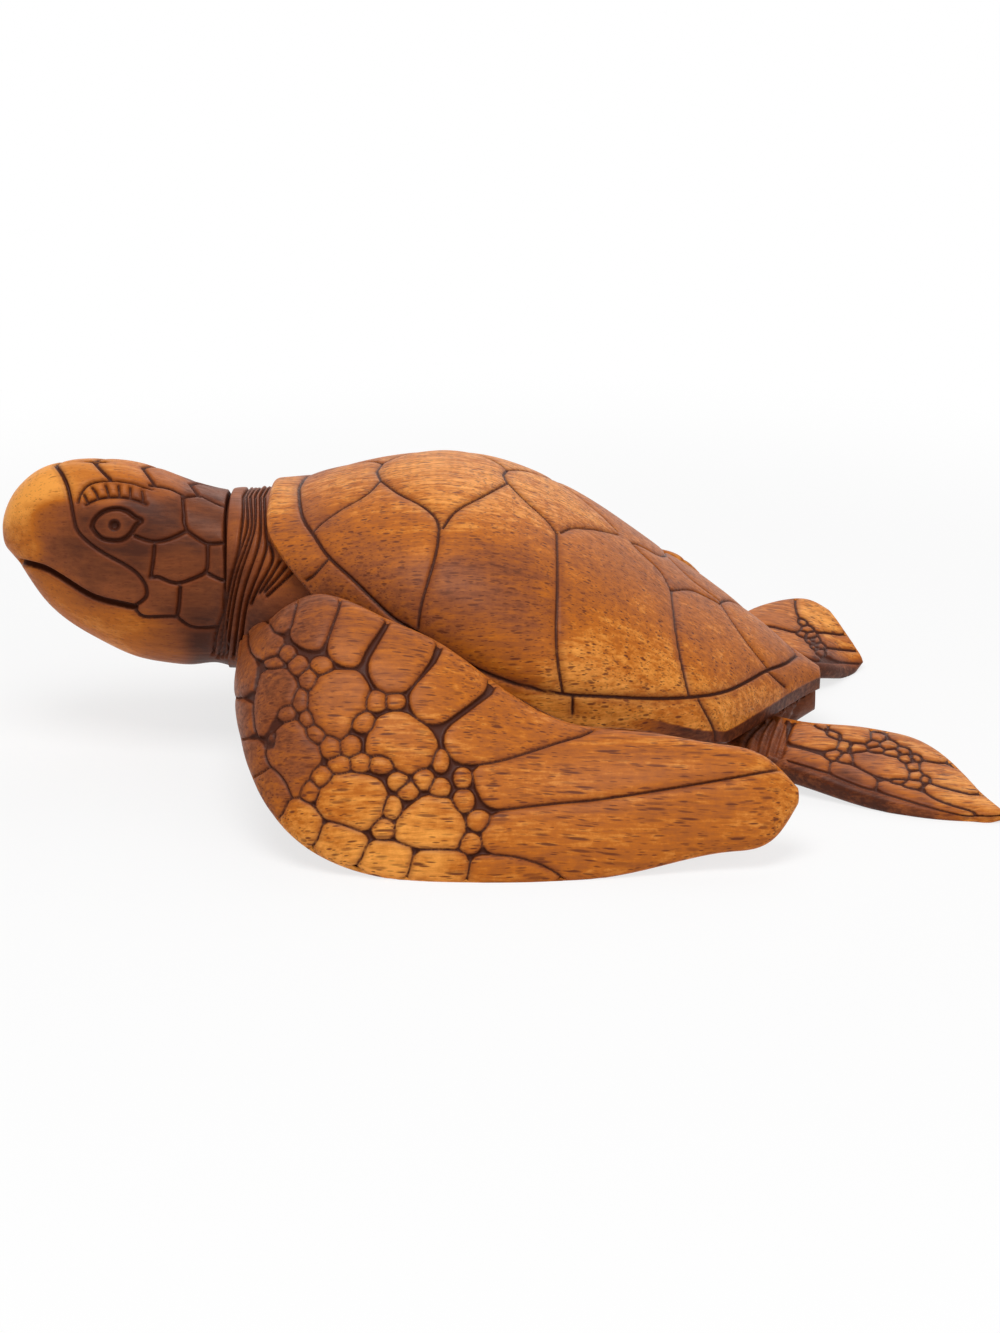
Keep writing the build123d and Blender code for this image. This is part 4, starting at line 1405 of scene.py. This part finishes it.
def new_group(
    name: str, numbers: dict[str, float], outputs: Sequence[str],
) -> tuple[bpy.types.NodeTree, Nodes]:
    """A shader group with a Vector input, number inputs and number outputs, and no nodes yet.

    Args:
        name: the group's name.
        numbers: the number inputs and their defaults.
        outputs: the outputs' names.

    Returns:
        The group's tree, and what writes into it.
    """
    tree = bpy.data.node_groups.new(name, "ShaderNodeTree")
    tree.interface.new_socket("Vector", in_out="INPUT", socket_type="NodeSocketVector")
    for key, value in numbers.items():
        socket = tree.interface.new_socket(key, in_out="INPUT", socket_type="NodeSocketFloat")
        socket.default_value = value
    for key in outputs:
        tree.interface.new_socket(key, in_out="OUTPUT", socket_type="NodeSocketFloat")
    return tree, Nodes(tree)


def pores_group() -> bpy.types.NodeTree:
    """Open pores of the wood: thin spindles along X, dark where a spindle's middle is near, in 3-D.

    Three layers of cells, from long to short, each keep the cells whose random number is low, and another
    random number makes some pores fainter.

    Returns:
        The group.
    """
    tree, nodes = new_group("wood_pores", {"Length": 0.008, "Width": 0.0013, "Amount": 0.5}, ["Pores"])
    ends = nodes.add("NodeGroupInput")
    sway = nodes.add("ShaderNodeTexNoise", {"Vector": ends.outputs["Vector"], "Scale": 14.0, "Detail": 1.0})
    swayed = nodes.add(
        "ShaderNodeVectorMath",
        {0: sway.outputs["Color"], 1: (0.0, 0.008, 0.012), 2: ends.outputs["Vector"]},
        operation="MULTIPLY_ADD",
    )
    layers = []
    for share in (1.0, 0.6, 0.38):
        size = nodes.add("ShaderNodeCombineXYZ", {
            "X": nodes.math("MULTIPLY", ends.outputs["Length"], share),
            "Y": nodes.math("MULTIPLY", ends.outputs["Width"], share),
            "Z": nodes.math("MULTIPLY", ends.outputs["Width"], share),
        })
        cells = nodes.add(
            "ShaderNodeVectorMath", {0: swayed.outputs[0], 1: size.outputs[0]}, operation="DIVIDE",
        )
        voronoi = nodes.add("ShaderNodeTexVoronoi", {"Vector": cells.outputs[0], "Scale": 1.0})
        near = nodes.span(voronoi.outputs["Distance"], 0.42, 0.2)
        random = nodes.add("ShaderNodeSeparateColor", {"Color": voronoi.outputs["Color"]})
        kept = nodes.math("LESS_THAN", random.outputs[0], ends.outputs["Amount"])
        strength = nodes.span(random.outputs[1], 0.0, 1.0, 0.35, 1.0)
        layers.append(nodes.math("MULTIPLY", nodes.math("MULTIPLY", near, kept), strength))
    deepest = nodes.math("MAXIMUM", nodes.math("MAXIMUM", layers[0], layers[1]), layers[2])
    nodes.add("NodeGroupOutput", {"Pores": deepest})
    return tree


def figure_group() -> bpy.types.NodeTree:
    """The figure of the growth rings: bands stretched along X, with finer streaks in them.

    Returns:
        The group.
    """
    tree, nodes = new_group("wood_figure", {"Band": 0.012}, ["Tone", "Streaks"])
    ends = nodes.add("NodeGroupInput")
    size = nodes.add("ShaderNodeCombineXYZ", {
        "X": nodes.math("MULTIPLY", ends.outputs["Band"], 9.0), "Y": ends.outputs["Band"],
        "Z": ends.outputs["Band"],
    })
    stretched = nodes.add(
        "ShaderNodeVectorMath", {0: ends.outputs["Vector"], 1: size.outputs[0]}, operation="DIVIDE",
    )
    bands = nodes.add("ShaderNodeTexNoise", {
        "Vector": stretched.outputs[0], "Scale": 1.0, "Detail": 3.0, "Roughness": 0.55, "Distortion": 0.6,
    })
    streaks = nodes.add("ShaderNodeTexNoise", {
        "Vector": stretched.outputs[0], "Scale": 7.0, "Detail": 4.0, "Roughness": 0.65,
    })
    nodes.add("NodeGroupOutput", {
        "Tone": nodes.span(bands.outputs["Fac"], 0.3, 0.7),
        "Streaks": nodes.span(streaks.outputs["Fac"], 0.3, 0.7),
    })
    return tree


@dataclass(frozen=True)
class WoodFinish:
    """Stained and satin-varnished wood, from golden over orange and brown to dark as its tone says, painted
    shade and painted highlights included.
    """

    name: str
    golden: Colour = (0.90, 0.36, 0.065, 1.0)
    orange: Colour = (0.50, 0.136, 0.012, 1.0)
    brown: Colour = (0.26, 0.070, 0.020, 1.0)
    dark: Colour = (0.075, 0.020, 0.009, 1.0)
    # Colours of the stain and painted shade by the grooves: the halo beside them and the fill in them.
    halo_stain_and_shade: Colour = (0.20, 0.045, 0.012, 1.0)
    stain_and_shade: Colour = (0.065, 0.015, 0.006, 1.0)
    pore: Colour = (0.11, 0.024, 0.008, 1.0)
    band: float = 0.012
    pore_length: float = 0.009
    pore_width: float = 0.0013
    pore_amount: float = 0.6
    pore_strength: float = 0.85
    mottling: float = 0.5
    streaking: float = 0.24
    banding: float = 0.16
    halo_reach: float = 2.6
    halo_strength: float = 0.45
    roughness: float = 0.46
    coat: float = 0.04
    specular: float = 0.12
    carved: bool = True

    def material(self, pores: bpy.types.NodeTree, figure: bpy.types.NodeTree) -> bpy.types.Material:
        """Wood coloured by its tone, painted shade and highlights included, and by its figure, with darker
        pores, stain and painted shade in and beside the grooves, and a thin varnish.

        Args:
            pores: the shared group that makes pores.
            figure: the shared group that makes the growth rings' figure.

        Returns:
            The material.
        """
        material = bpy.data.materials.new(self.name)
        material.use_nodes = True
        tree = material.node_tree
        tree.nodes.clear()
        nodes = Nodes(tree)
        place = nodes.add("ShaderNodeTexCoord").outputs["Object"]
        grain = nodes.add("ShaderNodeGroup", node_tree=figure)
        tree.links.new(place, grain.inputs["Vector"])
        grain.inputs["Band"].default_value = self.band
        pore = nodes.add("ShaderNodeGroup", node_tree=pores)
        tree.links.new(place, pore.inputs["Vector"])
        pore.inputs["Length"].default_value = self.pore_length
        pore.inputs["Width"].default_value = self.pore_width
        pore.inputs["Amount"].default_value = self.pore_amount
        # The tone attribute: the wood's own tone with painted shade and painted highlights in it.
        tone = nodes.add("ShaderNodeAttribute", attribute_name="tone").outputs["Fac"]
        figured = nodes.math(
            "MULTIPLY_ADD", nodes.math("SUBTRACT", grain.outputs["Tone"], 0.5), self.banding, tone,
        )
        streaked = nodes.math(
            "MULTIPLY_ADD", nodes.math("SUBTRACT", grain.outputs["Streaks"], 0.5), self.streaking, figured,
        )
        blotches = nodes.add("ShaderNodeTexNoise", {
            "Vector": place, "Scale": 230.0, "Detail": 4.0, "Roughness": 0.7,
        })
        mottled = nodes.math(
            "MULTIPLY_ADD", nodes.math("SUBTRACT", blotches.outputs["Fac"], 0.5), self.mottling, streaked,
        )
        colour = nodes.ramp(
            mottled, ((0.0, self.golden), (0.35, self.orange), (0.7, self.brown), (1.0, self.dark)),
        )
        pitted = nodes.math("MULTIPLY", pore.outputs["Pores"], self.pore_strength)
        colour = nodes.mix(pitted, colour, self.pore)
        height = nodes.math("MULTIPLY", pore.outputs["Pores"], -0.15)
        if self.carved:
            # Stain and painted shade by the grooves: a reddish halo beside them, and a dark fill in them.
            groove = nodes.add("ShaderNodeAttribute", attribute_name="groove").outputs["Fac"]
            ragged = nodes.add("ShaderNodeTexNoise", {"Vector": place, "Scale": 900.0, "Detail": 2.0})
            edge = nodes.math("MULTIPLY_ADD", nodes.math("SUBTRACT", ragged.outputs["Fac"], 0.5), 0.5, groove)
            halo = nodes.span(edge, self.halo_reach, 0.0, 0.0, self.halo_strength)
            colour = nodes.mix(halo, colour, self.halo_stain_and_shade)
            colour = nodes.mix(nodes.span(edge, 0.55, -0.15), colour, self.stain_and_shade)
            height = nodes.math("ADD", height, nodes.span(groove, -0.6, 0.5, -0.5, 0.0))
        bump = nodes.add("ShaderNodeBump", {"Strength": 0.6, "Distance": 0.0006, "Height": height})
        shine = nodes.span(grain.outputs["Streaks"], 0.0, 1.0, self.roughness - 0.05, self.roughness + 0.08)
        shader = nodes.add("ShaderNodeBsdfPrincipled", {
            "Base Color": colour, "Roughness": shine, "Normal": bump.outputs["Normal"],
            "Coat Weight": self.coat, "Coat Roughness": 0.25, "Specular IOR Level": self.specular,
        })
        nodes.add("ShaderNodeOutputMaterial", {"Surface": shader.outputs["BSDF"]})
        return material


@dataclass
class Studio:
    """A white table and soft light from large lamps."""

    floor_half: float = 12.0
    floor_drop: float = 0.05 * MM
    near_glow: float = 0.74
    near: float = 0.28
    far: float = 0.6
    key_power: float = 12.5
    fill_power: float = 4.5
    back_power: float = 4.0
    sky: float = 0.33

    def background_rays(self, nodes: Nodes) -> bpy.types.NodeSocket:
        """Which rays show the background: camera, glossy and transmission rays.

        Args:
            nodes: what writes into the material's or the world's tree.

        Returns:
            A socket that is 1 for such rays, and 0 for others.
        """
        rays = nodes.add("ShaderNodeLightPath")
        seen = nodes.math("MAXIMUM", rays.outputs["Is Camera Ray"], rays.outputs["Is Glossy Ray"])
        return nodes.math("MAXIMUM", seen, rays.outputs["Is Transmission Ray"])

    def floor(self) -> bpy.types.Object:
        """A pale floor that looks nearly white to the camera and keeps the turtle's shadow.

        Returns:
            The floor.
        """
        half = self.floor_half
        level = -self.floor_drop
        mesh = bpy.data.meshes.new("floor")
        corners = [(-half, -half, level), (half, -half, level), (half, half, level), (-half, half, level)]
        mesh.from_pydata(corners, [], [(0, 1, 2, 3)])
        floor = bpy.data.objects.new("floor", mesh)
        bpy.context.scene.collection.objects.link(floor)
        material = bpy.data.materials.new("white_table")
        material.use_nodes = True
        material.node_tree.nodes.clear()
        nodes = Nodes(material.node_tree)
        paint = nodes.add("ShaderNodeBsdfDiffuse", {"Color": (0.9, 0.9, 0.9, 1.0)})
        glow = nodes.add("ShaderNodeEmission", {"Color": (1.0, 1.0, 1.0, 1.0), "Strength": 1.0})
        place = nodes.add("ShaderNodeTexCoord").outputs["Object"]
        distance = nodes.add("ShaderNodeVectorMath", {0: place}, operation="LENGTH").outputs["Value"]
        share = nodes.span(distance, self.near, self.far, self.near_glow, 1.0)
        seen = nodes.math("MULTIPLY", self.background_rays(nodes), share)
        both = nodes.add("ShaderNodeMixShader", {0: seen, 1: paint.outputs[0], 2: glow.outputs[0]})
        nodes.add("ShaderNodeOutputMaterial", {"Surface": both.outputs[0]})
        mesh.materials.append(material)
        return floor

    def lamp(self, name: str, place: tuple[float, float, float], size: float, power: float) -> None:
        """A square lamp that shines at the turtle's middle.

        Args:
            name: the lamp's name.
            place: where it hangs.
            size: its edge.
            power: its power in watts.
        """
        data = bpy.data.lights.new(name, "AREA")
        data.size = size
        data.energy = power
        lamp = bpy.data.objects.new(name, data)
        lamp.location = place
        aim = np.array([0, 0, 0.05]) - np.array(place)
        yaw = math.atan2(aim[1], aim[0])
        tilt = math.atan2(math.hypot(aim[0], aim[1]), -aim[2])
        lamp.rotation_euler = (tilt, 0, yaw - math.pi / 2)
        bpy.context.scene.collection.objects.link(lamp)

    def light(self) -> None:
        """Key light from above the head, fill from the camera's side, back light, and a white sky."""
        self.lamp("key", (-0.15, -0.45, 1.4), 0.8, self.key_power)
        self.lamp("fill", (0.9, -1.2, 0.8), 1.2, self.fill_power)
        self.lamp("back", (0.3, 1.1, 1.0), 1.0, self.back_power)
        world = bpy.data.worlds.new("white_room")
        bpy.context.scene.world = world
        world.use_nodes = True
        world.node_tree.nodes.clear()
        nodes = Nodes(world.node_tree)
        strength = nodes.span(self.background_rays(nodes), 0.0, 1.0, self.sky, 1.0)
        sky = nodes.add("ShaderNodeBackground", {"Color": (1.0, 1.0, 1.0, 1.0), "Strength": strength})
        nodes.add("ShaderNodeOutputWorld", {"Surface": sky.outputs[0]})


def main() -> None:
    """Builds the pieces in order, dresses them, and sets up the studio and the camera."""
    logging.basicConfig(level=logging.INFO, format="%(name)s: %(message)s")
    bpy.context.scene.view_settings.view_transform = "Standard"
    view = PhotoView()
    view.camera()
    studio = Studio()
    studio.floor()
    studio.light()
    pores, figure = pores_group(), figure_group()
    shell_wood = WoodFinish(
        "shell_wood", pore_length=0.007, pore_width=0.0015, pore_amount=0.42, pore_strength=0.9,
        halo_reach=4.0,
    ).material(pores, figure)
    body_wood = WoodFinish(
        "body_wood", pore_length=0.005, pore_width=0.0011, pore_amount=0.3, pore_strength=0.5, mottling=0.15,
        streaking=0.1,
    ).material(pores, figure)
    flipper_wood = WoodFinish(
        "flipper_wood", pore_length=0.014, pore_width=0.0018, pore_amount=0.42, pore_strength=0.9,
    ).material(pores, figure)
    raw_wood = WoodFinish(
        "dowel_wood", golden=(0.62, 0.40, 0.20, 1), orange=(0.50, 0.30, 0.14, 1), roughness=0.6, carved=False,
    ).material(pores, figure)
    fronts = FrontFlippers().build(view)
    rears = RearFlippers().build(view)
    dressed = [
        (Shell().build(view), "carapace", "shell_wood", shell_wood),
        (Body().build(view), "trunk", "body_wood", body_wood),
        (Head().build(view), "head", "body_wood", body_wood),
        (fronts[0], "flipper_front_left", "flipper_wood", flipper_wood),
        (fronts[1], "flipper_front_right", "flipper_wood", flipper_wood),
        (rears[0], "flipper_rear_left", "flipper_wood", flipper_wood),
        (rears[1], "flipper_rear_right", "flipper_wood", flipper_wood),
    ]
    for piece, node, slot, wood in dressed:
        piece.data.materials.append(wood)
        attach(piece, "root")
        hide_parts(node)
        log.info("%s stands for %s: %d faces", piece.name, node, len(piece.data.polygons))
    for name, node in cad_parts.items():
        if "dowel" in name:
            for material_slot in node.material_slots:
                material_slot.material = raw_wood


if __name__ == "__main__":
    main()
